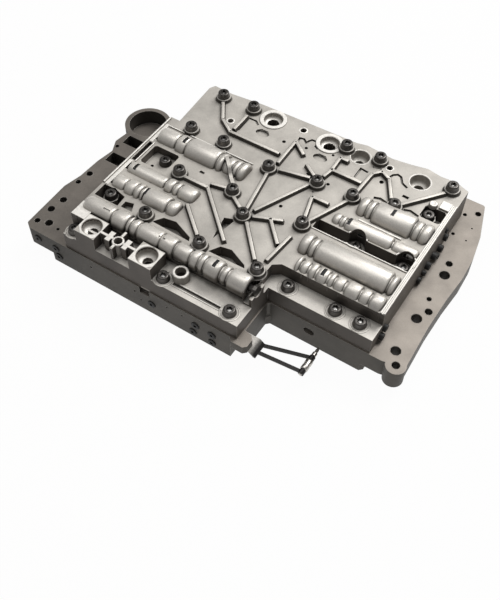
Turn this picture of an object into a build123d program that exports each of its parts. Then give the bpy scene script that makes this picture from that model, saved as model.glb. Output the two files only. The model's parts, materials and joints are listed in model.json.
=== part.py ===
from build123d import *
import math
import os

os.makedirs("parts", exist_ok=True)

# Valve body of an automatic transmission, in millimetres.
# Origin: centre of the footprint on the case face, the underside of the base casting.
# X runs along the long side, Y points away from the front edge with the notch, Z points up.

# Heights of the stack
base_height = 30.0
flange_height = 20.0
plate_thickness = 1.0
ledge_height = 17.0
deck_height = 31.0
rib_height = 3.6

plate_low = base_height
housing_low = base_height + plate_thickness
ledge_top = housing_low + ledge_height
deck_top = housing_low + deck_height
boss_top = deck_top + rib_height

# Outline of the upper casting
housing_left = -128.0
housing_back_left = -118.0
housing_right = 155.0
foot_back = 101.0
# Its rear edge, scalloped around the bolts, from right to left
back_edge = [
    (housing_right, 103), (141, 108), (126, 107), (112, 109.5), (96, 106), (78, 103.5), (51, 106.5),
    (40, 104), (-62, 101.5), (-98, 98), (-118.5, 99), (-121.5, 93),
]
housing_front = -127.0
step_y = 37.0
block_front = -61.0
notch_left = 56.0
notch_back = -79.0

# Outline of the base casting
base_lip = 1.2
flange_left = -177.0
flange_right = 187.0
flange_back = 127.0
flange_start = 145.0
foot_left = -150.0
foot_right = 152.0
foot_corner = 3.0
flange_corner = 3.0
corner_boss = (178.5, -77.5)
corner_boss_radius = 9.0
tongue_length = 10.0
tongue_width = 18.0
tongue_thickness = 9.0
tongue_lip = 3.5

# Casting sections
rib_width = 3.4
bore_drop = 3.0
bore_wall = 4.2
end_wall = 5.0
axis_z = deck_top - bore_drop

# Fits
running_clearance = 0.03
seat_gap = 0.2
slot_clearance = 0.2

# Cover bolts, size M6, with washer heads
bolt_shank = 6.0
bolt_hole = 6.8
bolt_head = 12.0
bolt_head_height = 5.5
head_gap = 0.9
boss_radius = 7.2
bolt_engagement = 12.0

# Flats on turned pieces and their bores, few so that the whole part stays light
bolt_sides = 8
shank_sides = 6
turned_sides = 10
stem_sides = 6
wall_sides = 24
bore_sides = 16
pocket_sides = 16
pin_sides = 8

# Valve trains
land_length = 6.0
stem_share = 0.55
keeper_thickness = 2.6
keeper_width = 8.0
keeper_recess = 3.5
plug_nose = 6.0
plug_length = 12.0
mouth_recess = 2.0
spring_wire = 1.1
spring_turns = 3
spring_share = 0.72
turn_stretches = 5

deck_bolts = [
    (-100.2, 87), (-66, 88.5), (36.1, 90.7), (70.2, 93), (141.8, 95.2),
    (-100, 31.5), (-63.5, 32), (-10.7, 27.3), (36.1, 35), (71, 37.5),
    (107.7, 47.3), (-75.3, -22.5), (-21.8, -15.8), (1.5, -35), (50.2, -15.3),
    (-10.9, -83), (-69.9, -80.7), (45, -79.8),
]
ledge_bolts = [(70, -70), (115.2, -69.5), (138.6, -70), (-23.7, -119.5), (43.2, -118.5), (-120.5, -119.5)]
# Bolts sunk in wells: x, y, height of the seat
well_bolts = [
    (136.7, 58.6, deck_top - 5), (-101, -10.5, deck_top - 9), (97, -2.8, ledge_top + 2),
    (143, -1.6, ledge_top + 2), (-114, -74.8, deck_top - 5),
]
cover_bolts = (
    [(x, y, boss_top) for x, y in deck_bolts]
    + [(x, y, ledge_top) for x, y in ledge_bolts]
    + well_bolts
)

ribs = [
    [(-96, 79.5), (-82.5, 59), (-67, 48.5), (-13, 48.5)],
    [(-66, 76), (-66, 54)],
    [(-8, 72), (-7, 38)],
    [(-7, 71), (7, 60)],
    [(-1, 31), (27, 37)],
    [(17, 50), (30, 41)],
    [(-8, 20), (0, -26)],
    [(7, -24), (31, 30)],
    [(-43, -18), (-28, -15)],
    [(-68, -24), (-43, -24), (4, -68)],
    [(-17, -21), (-3, -30)],
    [(9, -40), (37, -71)],
    [(10, -31), (34, -21)],
    [(24, -25), (44, -46)],
    [(49, -33), (46, -66)],
    [(-46.5, -51), (-19, -75)],
    [(49, -10), (41, 18), (57, 18)],
    [(53, -9), (70, 32)],
    [(37, 46), (39, 57), (69, 57)],
    [(39, 57), (38, 75), (46, 75)],
    [(71.5, 46), (72.5, 73), (79, 80.5), (88.5, 75.5), (101, 55)],
    [(111, 52), (138, 87)],
]
# The rib that climbs over the regulator bore: its ends, and its side outline along it
climbing_rib = ((-57, 22.5), (-28, -6.5))
climb = [(0, -1), (0, 1.5), (9, 9), (15, 10.4), (24, 10.4), (31, 9), (41, 3.6), (41, -1)]

# Round screw holes in the flanges of the base casting: x, y, radius
screw_holes = [(-170, -99.5, 3.7), (172, 30, 5.0), (172, -26, 5.0), (*corner_boss, 3.7)]
# Fluid passages between them, with flats: x, y, radius
passages = [
    (-168, -84.5, 3.7), (-160, -114, 4.0), (-171, -117.5, 3.0), (-171.5, -58.5, 2.8),
    (-169.5, -44, 3.4), (167.5, 114, 3.0), (170, 44, 3.4), (172, -1.5, 2.4), (177.5, -14, 3.6),
    (172, -65, 4.8),
]

# Suction port ring and open pockets on the left flange
port_centre = (-165.5, 44.5)
port_bore = 19.0
port_ring = 23.5
port_floor = 4.0
pocket_depth = 15.0
flange_pockets = [((-170, -149), (8, 20)), ((-169, -149), (-21, -8))]

# Fluid channels in the underside of the foot
channel_width = 8.0
channel_depth = 14.0
foot_channels = [
    [(-138, -106), (-60, -106), (-60, -84), (-138, -84)],
    [(-40, -106), (36, -106), (36, -70)],
    [(-138, -60), (-20, -60), (-20, -84), (16, -84)],
    [(-138, -36), (-74, -36), (-74, 4)],
    [(-138, 18), (-92, 18), (-92, -16)],
    [(-104, 88), (-104, 44), (-52, 44), (-52, -36), (24, -36)],
    [(-80, 88), (10, 88), (10, 60)],
    [(-28, 66), (-28, 12), (44, 12), (44, -44), (138, -44)],
    [(34, 88), (138, 88), (138, 20)],
    [(112, 66), (64, 66), (64, 24), (112, 24), (112, -20), (70, -20)],
]

# Wells sunk into the deck: outline, floor height, corner radius
deck_wells = [
    ([(-117, -28), (-89, -28), (-89, -3), (-117, -3)], deck_top - 9, 2.0),
    ([(-125, -30), (-120.5, -30), (-120.5, -2), (-125, -2)], ledge_top, 0),
    ([(-125, -84), (-99, -84), (-100, -72), (-112, -69), (-125, -69)], ledge_top, 0),
    ([(-96, -83), (-84, -83), (-88, -74), (-96, -76)], deck_top - 6, 0),
    ([(-62, -82), (-22, -83), (-24, -79), (-44, -71), (-56, -73)], deck_top - 12, 0),
    ([(-2, -83), (34, -82), (32, -79), (14, -71), (4, -73)], deck_top - 12, 0),
    ([(-12, -44), (-2, -40), (-7, -69)], deck_top - 8, 0),
    ([(130, 52), (150, 52), (150, 68), (130, 68)], ledge_top, 2.0),
    ([(58, -10.5), (151, -10.5), (151, 0.5), (58, 0.5)], ledge_top, 0),
    ([(-49, 62), (-35, 62), (-35, 71), (-49, 71)], deck_top - 1.2, 3.5),
    ([(14, 63), (28, 63), (28, 72), (14, 72)], deck_top - 1.2, 3.5),
]

# Round bosses, wide and narrow: x, y, radius, height above the deck
ring_bosses = [(-42, 88, 13.5, 1), (20, 88, 13.5, 1)]
tube_bosses = [(-73, -116, 4.8, 0), (-11, -111, 7, -5)]

# Round pockets: x, y, radius, depth below the deck, radius of the hole in the floor
pockets = [
    (-43, 88, 9.5, 5, 6), (19.3, 88.8, 9.5, 5, 6), (52, 89, 9, 6, 5), (113, 90, 9.5, 6, 5.4),
    (-102, -115.5, 8.5, 8, 4.2), (-42.5, -115.5, 8.5, 8, 4.2),
]
small_pockets = [
    (-11, 91, 3, 14), (81.5, 91, 3, 12), (-73, -116, 3.3, 20), (-11, -111, 3.6, 14), (-77, 64, 3, 12),
]
pocket_floor = 4.0

# Flat pads on the front edge and at the rear well: x, y, rise above the deck
pads = [
    ((-113, -91.5), (-127, -95), 0), ((-128, -113), (-113, -95), 0), ((-54.5, -31), (-127, -95), 0),
    ((-84.5, -79.5), (-121, -110), 0), ((-66.5, -61.5), (-121, -110), 0),
    ((141, 150), (69, 79), 2), ((151, 155), (-61, 79), 1.5), ((-128, -126), (-68, 0), 1.5),
]
webs = [[(-92, -116), (-54, -116)], [(-73, -95), (-73, -125)]]
web_width = 2.6
ledge_groove = ((-13.5, 34.5), (-120.5, -118))
groove_depth = 2.0

# Square gallery plugs: x and drop below the flange on the front wall, y and rise on the right wall
plug_square = 5.0
plug_depth = 6.0
plug_proud = 1.0
front_plugs = [(-163, 10), (-142, 11), (-140, 21), (-33, 16), (14, 12), (11, 23), (31, 13), (31, 24)]
side_plugs = [(61, 10), (51, 5), (25, 7), (9, 3), (-56, 9), (-62, 4)]

# Detent: leaf under the tongue, its screw, pin and roller
leaf_thickness = 1.2
leaf_root = (-127, -111)
relief_left = 50.0
relief_gap = 1.0
arm_width = 3.4
arm_reach = 2.5
arm_gap = 0.4
arms = [(-121, -117.5), (-113, -101.5)]
eye_length = 4.0
eye_radius = 2.8
pin_radius = 1.5
collar_radius = 2.2
collar_length = 4.0
tip_length = 10.0
roller_radius = 3.4
pin_x = 114.0
eye_bore_gap = 0.05
pin_z = base_height - 13.6
detent_screw = (60.0, -121.0)
screw_shank = 5.0
screw_head = 9.0
screw_head_height = 4.0


class Bore:
    """One valve bore along X: its half-round wall, and the valve, spring, plug and keeper in it.

    The keeper either holds the plug ("plug"), is the valve's stop ("stop"), or is absent ("none").
    steps lists where the outer wall changes, as (distance from the closed end, radius change).
    """

    def __init__(self, y, radius, inner_end, mouth, slot, role, valve_length, lands, travel, steps):
        self.y = y
        self.radius = radius
        self.outer = radius + bore_wall
        self.inner_end = inner_end
        self.mouth = mouth
        self.slot = slot
        self.role = role
        self.side = 1 if mouth > inner_end else -1
        self.valve_length = valve_length
        self.lands = lands
        self.travel = travel
        self.steps = steps
        self.blind = self.ahead(inner_end, end_wall)
        self.valve_start = self.ahead(self.blind, seat_gap)
        if role == "stop":
            self.valve_start = self.ahead(slot, keeper_thickness / 2 + seat_gap)
        self.valve_end = self.ahead(self.valve_start, valve_length)
        self.plug_end = self.ahead(mouth, -mouth_recess)
        self.plug_face = self.ahead(self.plug_end, -plug_length)
        if role == "plug":
            self.plug_face = self.ahead(slot, -plug_nose)

    def ahead(self, x, distance):
        """The X value that lies distance further towards the mouth."""
        return x + self.side * distance


regulator = Bore(
    11.5, 8.0, -23.0, housing_left, -92.0, "plug", 38.0, 3, 9.0,
    [(0, -0.4), (7, -1.8), (13, 0.4), (62, -1.8)],
)
relay = Bore(
    -38.5, 5.2, -44.0, housing_left, -112.0, "plug", 30.0, 3, 7.0,
    [(0, 0), (14, -1.4), (20, -0.4), (30, -1.8)],
)
shift = Bore(
    -59.5, 6.1, -48.0, housing_left, -84.0, "plug", 16.0, 2, 4.0,
    [(0, -0.8), (10, 0), (44, -1.8)],
)
damper = Bore(
    34.5, 9.2, 82.0, housing_right, 113.0, "plug", 10.0, 2, 4.0,
    [(0, -1.2), (9, -2.2), (12, 0), (52, -2.2)],
)
lockup = Bore(
    9.5, 4.0, 68.0, housing_right, 84.0, "stop", 30.0, 2, 6.0,
    [(0, -1), (12, 0), (58, -1.6)],
)
accumulator = Bore(
    -30.5, 8.8, 60.0, housing_right, None, "none", 34.0, 2, 12.0,
    [(0, -0.4), (8, -2.0), (14, 0), (74, -2)],
)
pressure = Bore(
    -52.5, 4.8, 68.0, housing_right, 93.5, "stop", 26.0, 2, 6.0,
    [(0, 0), (9, -1.4), (15, 0), (34, -1.4), (44, 0)],
)
sprung_bores = {
    "regulator": regulator,
    "relay": relay,
    "shift": shift,
    "damper": damper,
    "lockup": lockup,
    "accumulator": accumulator,
    "pressure": pressure,
}
manual = Bore(
    -94.5, 5.6, -125.0, notch_left, 14.0, "none", 0, 0, 16.0,
    [(0, -1.2), (34, 0), (52, -1.4), (62, -0.6), (104, -1.8), (122, 0), (146, -1.6), (152, 0.2)],
)
manual_lands = [(-104, -92), (-70, -56), (-34, -22)]
manual_relief = (-3.7, 15.9)
manual_end = 55.0
manual_groove = (46.0, 52.0)
manual_window = (48.0, 53.0)
manual_keeper_gap = 0.6


def prism(points, low, high, corner=0.0, ease=chamfer):
    """A straight-sided block from an outline, with its upright edges chamfered or rounded."""
    face = make_face(Polyline(*points, close=True))
    if corner:
        face = ease(face.vertices(), corner)
    return Pos(0, 0, low) * extrude(face, high - low, dir=(0, 0, 1))


def block(x, y, z):
    """A box given by its two corners along each axis."""
    size = (x[1] - x[0], y[1] - y[0], z[1] - z[0])
    return Pos((x[0] + x[1]) / 2, (y[0] + y[1]) / 2, (z[0] + z[1]) / 2) * Box(*size)


def post(x, y, low, high, radius):
    """An upright cylinder."""
    return Pos(x, y, low) * Cylinder(radius, high - low, align=(Align.CENTER, Align.CENTER, Align.MIN))


def flat_rod(start, end, y, radius, sides=turned_sides):
    """A turned piece along X on a bore's axis, with flats, its corners on the given radius."""
    face = Pos(start, y, axis_z) * Rot(0, 90, 0) * RegularPolygon(radius, sides)
    return extrude(face, end - start, dir=(1, 0, 0))


def bar(start, end, width, low, high):
    """A straight bar between two points of a plan, with square ends half a width beyond them."""
    length = math.dist(start, end) + width
    turn = math.degrees(math.atan2(end[1] - start[1], end[0] - start[0]))
    middle = ((start[0] + end[0]) / 2, (start[1] + end[1]) / 2)
    return Pos(*middle, (low + high) / 2) * Rot(0, 0, turn) * Box(length, width, high - low)


def bars(path, width, low, high):
    """Bars along a path, one for each stretch."""
    return [bar(start, end, width, low, high) for start, end in zip(path, path[1:])]


def polygon_post(x, y, low, high, radius, sides):
    """An upright prism with few flats, for fasteners and their holes."""
    face = RegularPolygon(radius, sides)
    return Pos(x, y, low) * extrude(face, high - low)


def flange_outline():
    """Plan of the base casting's flange, around the whole part."""
    front = housing_front - base_lip
    back = [(x, y + base_lip) for x, y in back_edge[2:]]
    left = housing_back_left - base_lip
    notch_wall = notch_left + base_lip
    return [
        (flange_left, front + 4), (flange_left + 6, front), (notch_wall, front),
        (notch_wall, notch_back - base_lip), (corner_boss[0] - 12, notch_back - base_lip),
        corner_boss, (flange_right - 0.5, corner_boss[1]), (flange_right - 2.5, -30),
        (flange_right - 2, 5), (flange_right, 34), (flange_right - 1, 60), (flange_right - 6, 88),
        (flange_right - 18, flange_back), (flange_start, flange_back), (flange_start - 8, back[0][1]),
        *back, (left, port_centre[1] + 18), port_centre, (flange_left + 2, 20),
        (flange_left, 6), (flange_left + 6, -7), (flange_left + 3, -26), (flange_left + 2, -51),
        (flange_left - 2, -70),
    ]


def base_casting():
    """The lower casting: a channelled foot, thinner side flanges, the port ring and the tongue."""
    flange_low = base_height - flange_height
    front = housing_front - base_lip
    foot = [
        (foot_left, front), (notch_left + base_lip, front),
        (notch_left + base_lip, notch_back - base_lip), (foot_right, notch_back - base_lip),
        (foot_right, foot_back), (housing_back_left, foot_back), (housing_back_left, step_y),
        (foot_left, step_y),
    ]
    body = prism(flange_outline(), flange_low, base_height, flange_corner, fillet)
    tongue_right = notch_left + base_lip + tongue_length
    body += [
        prism(foot, 0, flange_low + 1, foot_corner),
        post(*corner_boss, flange_low, base_height, corner_boss_radius),
        post(*port_centre, flange_low, base_height, port_ring),
        prism(
            [(notch_left - 6, front - tongue_lip), (tongue_right, front - tongue_lip),
             (tongue_right, front - tongue_lip + tongue_width - 4), (notch_left - 6, front + 14)],
            base_height - tongue_thickness, base_height, flange_corner,
        ),
    ]
    cuts = [post(*port_centre, flange_low + port_floor, base_height + 1, port_bore)]
    cuts += [post(x, y, flange_low - 1, base_height + 1, r) for x, y, r in screw_holes]
    cuts += [
        polygon_post(x, y, flange_low - 1, base_height + 1, r, bolt_sides) for x, y, r in passages
    ]
    cuts += [
        block(x, y, (base_height - pocket_depth, base_height + 1)) for x, y in flange_pockets
    ]
    for path in foot_channels:
        cuts += bars(path, channel_width, -1, channel_depth)
    cuts += [front_plug(x, drop, 0) for x, drop in front_plugs]
    under_tongue = base_height - tongue_thickness
    cuts.append(
        block((relief_left, tongue_right + 1), (front - 1, leaf_root[1] + relief_gap), (-1, under_tongue))
    )
    return body - cuts


def front_plug(x, drop, proud):
    """A square gallery plug in the front wall, standing proud of it by the given amount."""
    front = housing_front - base_lip
    half = plug_square / 2
    z = base_height - drop
    return block((x - half, x + half), (front - proud, front + plug_depth), (z - half, z + half))


def side_plug(y, rise, proud):
    """A square gallery plug in the right wall of the upper casting."""
    half = plug_square / 2
    z = housing_low + rise
    reach = (housing_right - plug_depth, housing_right + proud)
    return block(reach, (y - half, y + half), (z - half, z + half))


def housing_outline(low_front):
    """Plan of the upper casting at the ledge (low_front) or at the deck."""
    back = back_edge + [(housing_back_left, step_y), (housing_left, step_y)]
    if low_front:
        return [
            (housing_left, housing_front), (notch_left, housing_front), (notch_left, notch_back),
            (housing_right, notch_back),
        ] + back
    return [
        (housing_left, manual.y), (notch_left, manual.y), (notch_left, notch_back - 7),
        (notch_left - 5, notch_back - 3), (notch_left - 5, block_front - 5),
        (notch_left + 2, block_front), (housing_right, block_front),
    ] + back


def bore_wall_steps(bore):
    """The stepped round wall over one bore; one on the ledge also gets a footing."""
    starts = [bore.ahead(bore.inner_end, distance) for distance, _ in bore.steps]
    ends = starts[1:] + [bore.mouth]
    solids = []
    for start, end, (_, change) in zip(starts, ends, bore.steps):
        radius = bore.outer + change
        solids.append(flat_rod(start, end, bore.y, radius, wall_sides))
        if bore is manual:
            low, high = sorted((start, end))
            solids.append(block((low, high), (bore.y - radius, bore.y), (ledge_top - 1, axis_z)))
    return solids


def ridge(start, end, outline, width):
    """A rib between two points of a plan whose top follows an outline along it."""
    turn = math.degrees(math.atan2(end[1] - start[1], end[0] - start[0]))
    return Pos(*start, deck_top) * Rot(0, 0, turn) * strip(outline, -width / 2, width / 2)


def keeper_slot(bore, gap):
    """The plate that crosses a bore from above, or its slot when gap is more than zero."""
    half = keeper_thickness / 2 + gap
    wide = keeper_width / 2 + gap
    low = axis_z
    if bore is manual:
        low += bore.radius * stem_share + manual_keeper_gap
    high = axis_z + bore.outer + (1 if gap else -keeper_recess)
    return block((bore.slot - half, bore.slot + half), (bore.y - wide, bore.y + wide), (low, high))


def valve_housing():
    """The upper casting with its deck, ledges, bores, pads, pockets, ribs and bolt holes."""
    body = prism(housing_outline(True), housing_low, ledge_top)
    body += prism(housing_outline(False), ledge_top - 1, deck_top)
    body -= [prism(points, floor, deck_top + 1, corner) for points, floor, corner in deck_wells]
    walls = []
    for bore in list(sprung_bores.values()) + [manual]:
        walls += bore_wall_steps(bore)
    for path in ribs:
        walls += bars(path, rib_width, deck_top - 1, deck_top + rib_height)
    walls.append(ridge(*climbing_rib, climb, rib_width))
    for x, y, radius, height in ring_bosses:
        walls.append(polygon_post(x, y, ledge_top - 1, deck_top + height, radius, pocket_sides))
    for x, y, radius, height in tube_bosses:
        walls.append(polygon_post(x, y, ledge_top - 1, deck_top + height, radius, bolt_sides))
    walls += [polygon_post(x, y, deck_top - 1, boss_top, boss_radius, bolt_sides) for x, y in deck_bolts]
    walls += [polygon_post(x, y, ledge_top - 1, seat, boss_radius, bolt_sides) for x, y, seat in well_bolts]
    walls += [block(x, y, (ledge_top - 1, deck_top + rise)) for x, y, rise in pads]
    for path in webs:
        walls += bars(path, web_width, ledge_top - 1, deck_top)
    body += walls
    cuts = []
    for x, y, radius, depth, inner in pockets:
        cuts.append(polygon_post(x, y, deck_top - depth, boss_top, radius, pocket_sides))
        cuts.append(polygon_post(x, y, housing_low + pocket_floor, deck_top, inner, bolt_sides))
    for x, y, radius, depth in small_pockets:
        cuts.append(polygon_post(x, y, deck_top - depth, boss_top, radius, bolt_sides))
    for bore in list(sprung_bores.values()) + [manual]:
        corner_radius = bore.radius / math.cos(math.pi / bore_sides)
        cuts.append(flat_rod(bore.blind, bore.mouth + bore.side, bore.y, corner_radius, bore_sides))
        if bore.slot is not None:
            cuts.append(keeper_slot(bore, slot_clearance))
    head_space = axis_z + damper.outer
    for x, y, seat in cover_bolts:
        cuts.append(polygon_post(x, y, housing_low - 1, seat + 1, bolt_hole / 2, shank_sides))
        cuts.append(polygon_post(x, y, seat, head_space, bolt_head / 2 + head_gap, bolt_sides))
    cuts.append(block(*ledge_groove, (ledge_top - groove_depth, ledge_top + 1)))
    reach = manual.outer + 1
    cuts.append(block(manual_window, (manual.y - reach, manual.y + reach), (axis_z, axis_z + reach)))
    cuts += [side_plug(y, rise, 0) for y, rise in side_plugs]
    return body - cuts


def separator_plate():
    """The thin plate between the castings, drilled for the cover bolts."""
    plate = prism(housing_outline(True), plate_low, housing_low)
    return plate - [
        polygon_post(x, y, plate_low - 1, housing_low + 1, bolt_hole / 2, shank_sides)
        for x, y, _ in cover_bolts
    ]


def bolt(x, y, seat):
    """A cover bolt: head, shank through both upper layers, thread engaged in the base casting."""
    foot = base_height - bolt_engagement
    head = polygon_post(x, y, seat, seat + bolt_head_height, bolt_head / 2, bolt_sides)
    return head + polygon_post(x, y, foot, seat, bolt_shank / 2, shank_sides)


def spool(start, end, lands, bore):
    """A turned valve: lands that run in the bore, joined by a thinner stem."""
    radius = bore.radius - running_clearance
    low, high = sorted((start, end))
    body = flat_rod(low, high, bore.y, radius * stem_share, stem_sides)
    return body + [flat_rod(a, b, bore.y, radius) for a, b in lands]


def sprung_valve(bore):
    """A spool with evenly spaced lands, the first and last at its ends."""
    low, high = sorted((bore.valve_start, bore.valve_end))
    pitch = (high - low - land_length) / (bore.lands - 1)
    lands = [(low + i * pitch, low + i * pitch + land_length) for i in range(bore.lands)]
    return spool(low, high, lands, bore)


def manual_valve():
    """The hand-selected valve, with a groove at its open end for the selector's pin."""
    start = manual_lands[0][0]
    groove_low, groove_high = manual_groove
    lands = manual_lands + [(manual_relief[1], groove_low), (groove_high, manual_end)]
    lands.append((manual_lands[-1][1] - 1, manual_relief[0]))
    return spool(start, manual_end, lands, manual)


def spring(bore):
    """A coil spring between valve and plug, of square wire, drawn with straight stretches."""
    radius = bore.radius * spring_share
    low, high = sorted((bore.valve_end, bore.plug_face))
    first = low + spring_wire / 2 + seat_gap
    rise = high - low - spring_wire - 2 * seat_gap
    count = int(spring_turns * turn_stretches)
    points = []
    for i in range(count + 1):
        angle = 2 * math.pi * i / turn_stretches
        across = radius * math.cos(angle)
        points.append((first + rise * i / count, bore.y + across, axis_z + radius * math.sin(angle)))
    path = Polyline(*points)
    section = Plane(origin=path @ 0, z_dir=path % 0) * Rectangle(spring_wire, spring_wire)
    return sweep(section, path=path, transition=Transition.RIGHT)


def plug(bore):
    """The end plug of a bore, notched for its keeper where it has one."""
    low, high = sorted((bore.plug_face, bore.plug_end))
    body = flat_rod(low, high, bore.y, bore.radius - running_clearance)
    if bore.role == "plug":
        half = keeper_thickness / 2 + slot_clearance
        body -= block(
            (bore.slot - half, bore.slot + half), (bore.y - bore.outer, bore.y + bore.outer),
            (axis_z - slot_clearance, axis_z + bore.outer),
        )
    return body


def strip(points, low, high):
    """A bent strip: its side outline in X and Z, given its low and high Y."""
    face = make_face(Polyline(*[(x, low, z) for x, z in points], close=True))
    return extrude(face, high - low, dir=(0, 1, 0))


def cross_rod(low, high, radius, sides=turned_sides):
    """A rod along Y on the detent pin's axis."""
    face = Pos(pin_x, low, pin_z) * Rot(90, 0, 0) * RegularPolygon(radius, sides)
    return extrude(face, high - low, dir=(0, 1, 0))


def detent_spring():
    """One folded leaf: a screwed root, a step down and two arms that end in eyes round the pin."""
    top = base_height - tongue_thickness
    low = pin_z - leaf_thickness / 2
    high = pin_z + leaf_thickness / 2
    right = notch_left + base_lip + tongue_length
    root = block((relief_left + relief_gap, right + 1), leaf_root, (top - leaf_thickness, top))
    step = strip(
        [(right, top - leaf_thickness), (right, top), (right + 2, top), (right + 7, high),
         (right + 7, low), (right + 5, low)],
        *leaf_root,
    )
    body = root + step
    body += [
        bar((right + 5, start), (pin_x - arm_reach, end), arm_width, low, high) for start, end in arms
    ]
    body += [cross_rod(y - eye_length / 2, y + eye_length / 2, eye_radius) for _, y in arms]
    body -= cross_rod(arms[0][1] - 10, arms[1][1] + 10, pin_radius + eye_bore_gap, pin_sides)
    return body - polygon_post(*detent_screw, top - 3, top + 1, screw_shank / 2 + 0.3, pin_sides)


def detent_pin():
    """The pin through the eyes, with a collar and a tip beyond the rear arm."""
    front = arms[0][1] - eye_length / 2 - 1
    rear = arms[1][1] + eye_length / 2 + arm_gap
    body = cross_rod(front, rear + tip_length, pin_radius, pin_sides)
    return body + cross_rod(rear, rear + collar_length, collar_radius, pin_sides)


def detent_roller():
    """The roller that rides on the selector's cam between the two eyes."""
    low = arms[0][1] + eye_length / 2 + arm_gap
    high = arms[1][1] - eye_length / 2 - arm_gap
    hole = (pin_radius + running_clearance) / math.cos(math.pi / pin_sides)
    return cross_rod(low, high, roller_radius) - cross_rod(low - 1, high + 1, hole, pin_sides)


def detent_bolt():
    """The screw that clamps the leaf's root under the tongue."""
    x, y = detent_screw
    seat = base_height - tongue_thickness - leaf_thickness
    head = polygon_post(x, y, seat - screw_head_height, seat, screw_head / 2, 6)
    return head + polygon_post(x, y, seat, base_height - 1, screw_shank / 2, pin_sides)


def save(name, shape):
    """Write one node's file; a list becomes a group of separate solids."""
    if isinstance(shape, list):
        shape = Compound(children=shape)
    export_step(shape, f"parts/{name}.step")


def main():
    save("base_casting", base_casting())
    save("separator_plate", separator_plate())
    save("valve_housing", valve_housing())
    save("deck_bolts", [bolt(x, y, boss_top) for x, y in deck_bolts])
    save("ledge_bolts", [bolt(x, y, ledge_top) for x, y in ledge_bolts])
    save("well_bolts", [bolt(x, y, seat) for x, y, seat in well_bolts])
    for name, bore in sprung_bores.items():
        save(f"{name}_valve", sprung_valve(bore))
        save(f"{name}_spring", spring(bore))
    save("end_plugs", [plug(bore) for bore in sprung_bores.values()])
    save("manual_valve", manual_valve())
    kept = [bore for bore in list(sprung_bores.values()) + [manual] if bore.slot is not None]
    save("keeper_plates", [keeper_slot(bore, 0) for bore in kept])
    save("front_plugs", [front_plug(x, drop, plug_proud) for x, drop in front_plugs])
    save("side_plugs", [side_plug(y, rise, plug_proud) for y, rise in side_plugs])
    save("detent_spring", detent_spring())
    save("detent_pin", detent_pin())
    save("detent_roller", detent_roller())
    save("detent_bolt", detent_bolt())


if __name__ == "__main__":
    main()
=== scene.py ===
import json
import math

import bpy
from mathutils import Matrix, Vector

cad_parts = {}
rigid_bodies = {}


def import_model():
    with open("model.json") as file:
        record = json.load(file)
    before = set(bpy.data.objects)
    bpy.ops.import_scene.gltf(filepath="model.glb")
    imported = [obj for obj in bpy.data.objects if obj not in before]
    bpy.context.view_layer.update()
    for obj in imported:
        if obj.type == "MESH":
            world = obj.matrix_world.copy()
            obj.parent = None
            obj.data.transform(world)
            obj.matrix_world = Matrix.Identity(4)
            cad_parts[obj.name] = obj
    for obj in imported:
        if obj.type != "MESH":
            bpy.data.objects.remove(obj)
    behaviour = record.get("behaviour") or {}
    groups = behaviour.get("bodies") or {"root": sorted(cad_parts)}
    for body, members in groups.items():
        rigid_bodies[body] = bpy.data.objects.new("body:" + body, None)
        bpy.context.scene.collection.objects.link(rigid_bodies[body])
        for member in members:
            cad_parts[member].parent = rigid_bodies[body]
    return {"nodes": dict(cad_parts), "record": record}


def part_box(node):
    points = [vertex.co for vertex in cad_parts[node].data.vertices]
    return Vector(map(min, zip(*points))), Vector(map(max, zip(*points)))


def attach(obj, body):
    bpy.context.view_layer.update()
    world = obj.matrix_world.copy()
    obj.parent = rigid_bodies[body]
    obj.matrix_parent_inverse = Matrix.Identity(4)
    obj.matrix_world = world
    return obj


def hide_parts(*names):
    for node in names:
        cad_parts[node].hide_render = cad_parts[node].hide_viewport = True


bl_info = {
    "name": "Valve Body Finish",
    "version": (1, 0, 0),
    "blender": (4, 5, 0),
    "location": "3D View > Sidebar > Valve Body",
    "description": "Finishes and fine pieces of an automatic transmission's valve body",
    "category": "Object",
}

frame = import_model()
nodes = frame["nodes"]

# Everything below is written in millimetres and turned to metres by this
MM = 0.001

# Levels over the case face: the deck, the front ledge, the bores' axes, the flanges, the screw bosses
DECK = 62.0
LEDGE = 48.0
AXIS = 59.0
FLANGE = 30.0
BOSS = 65.6

# Metal left between the closed end of a bore and the end of its wall
BLIND = 5.5

# Height of a cover bolt's head over its seat
BOLT_HEIGHT = 5.5

# Round bays of the trough, over its two bolts: x, y
BAYS = [(97, -2.8), (143, -1.6)]

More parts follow.
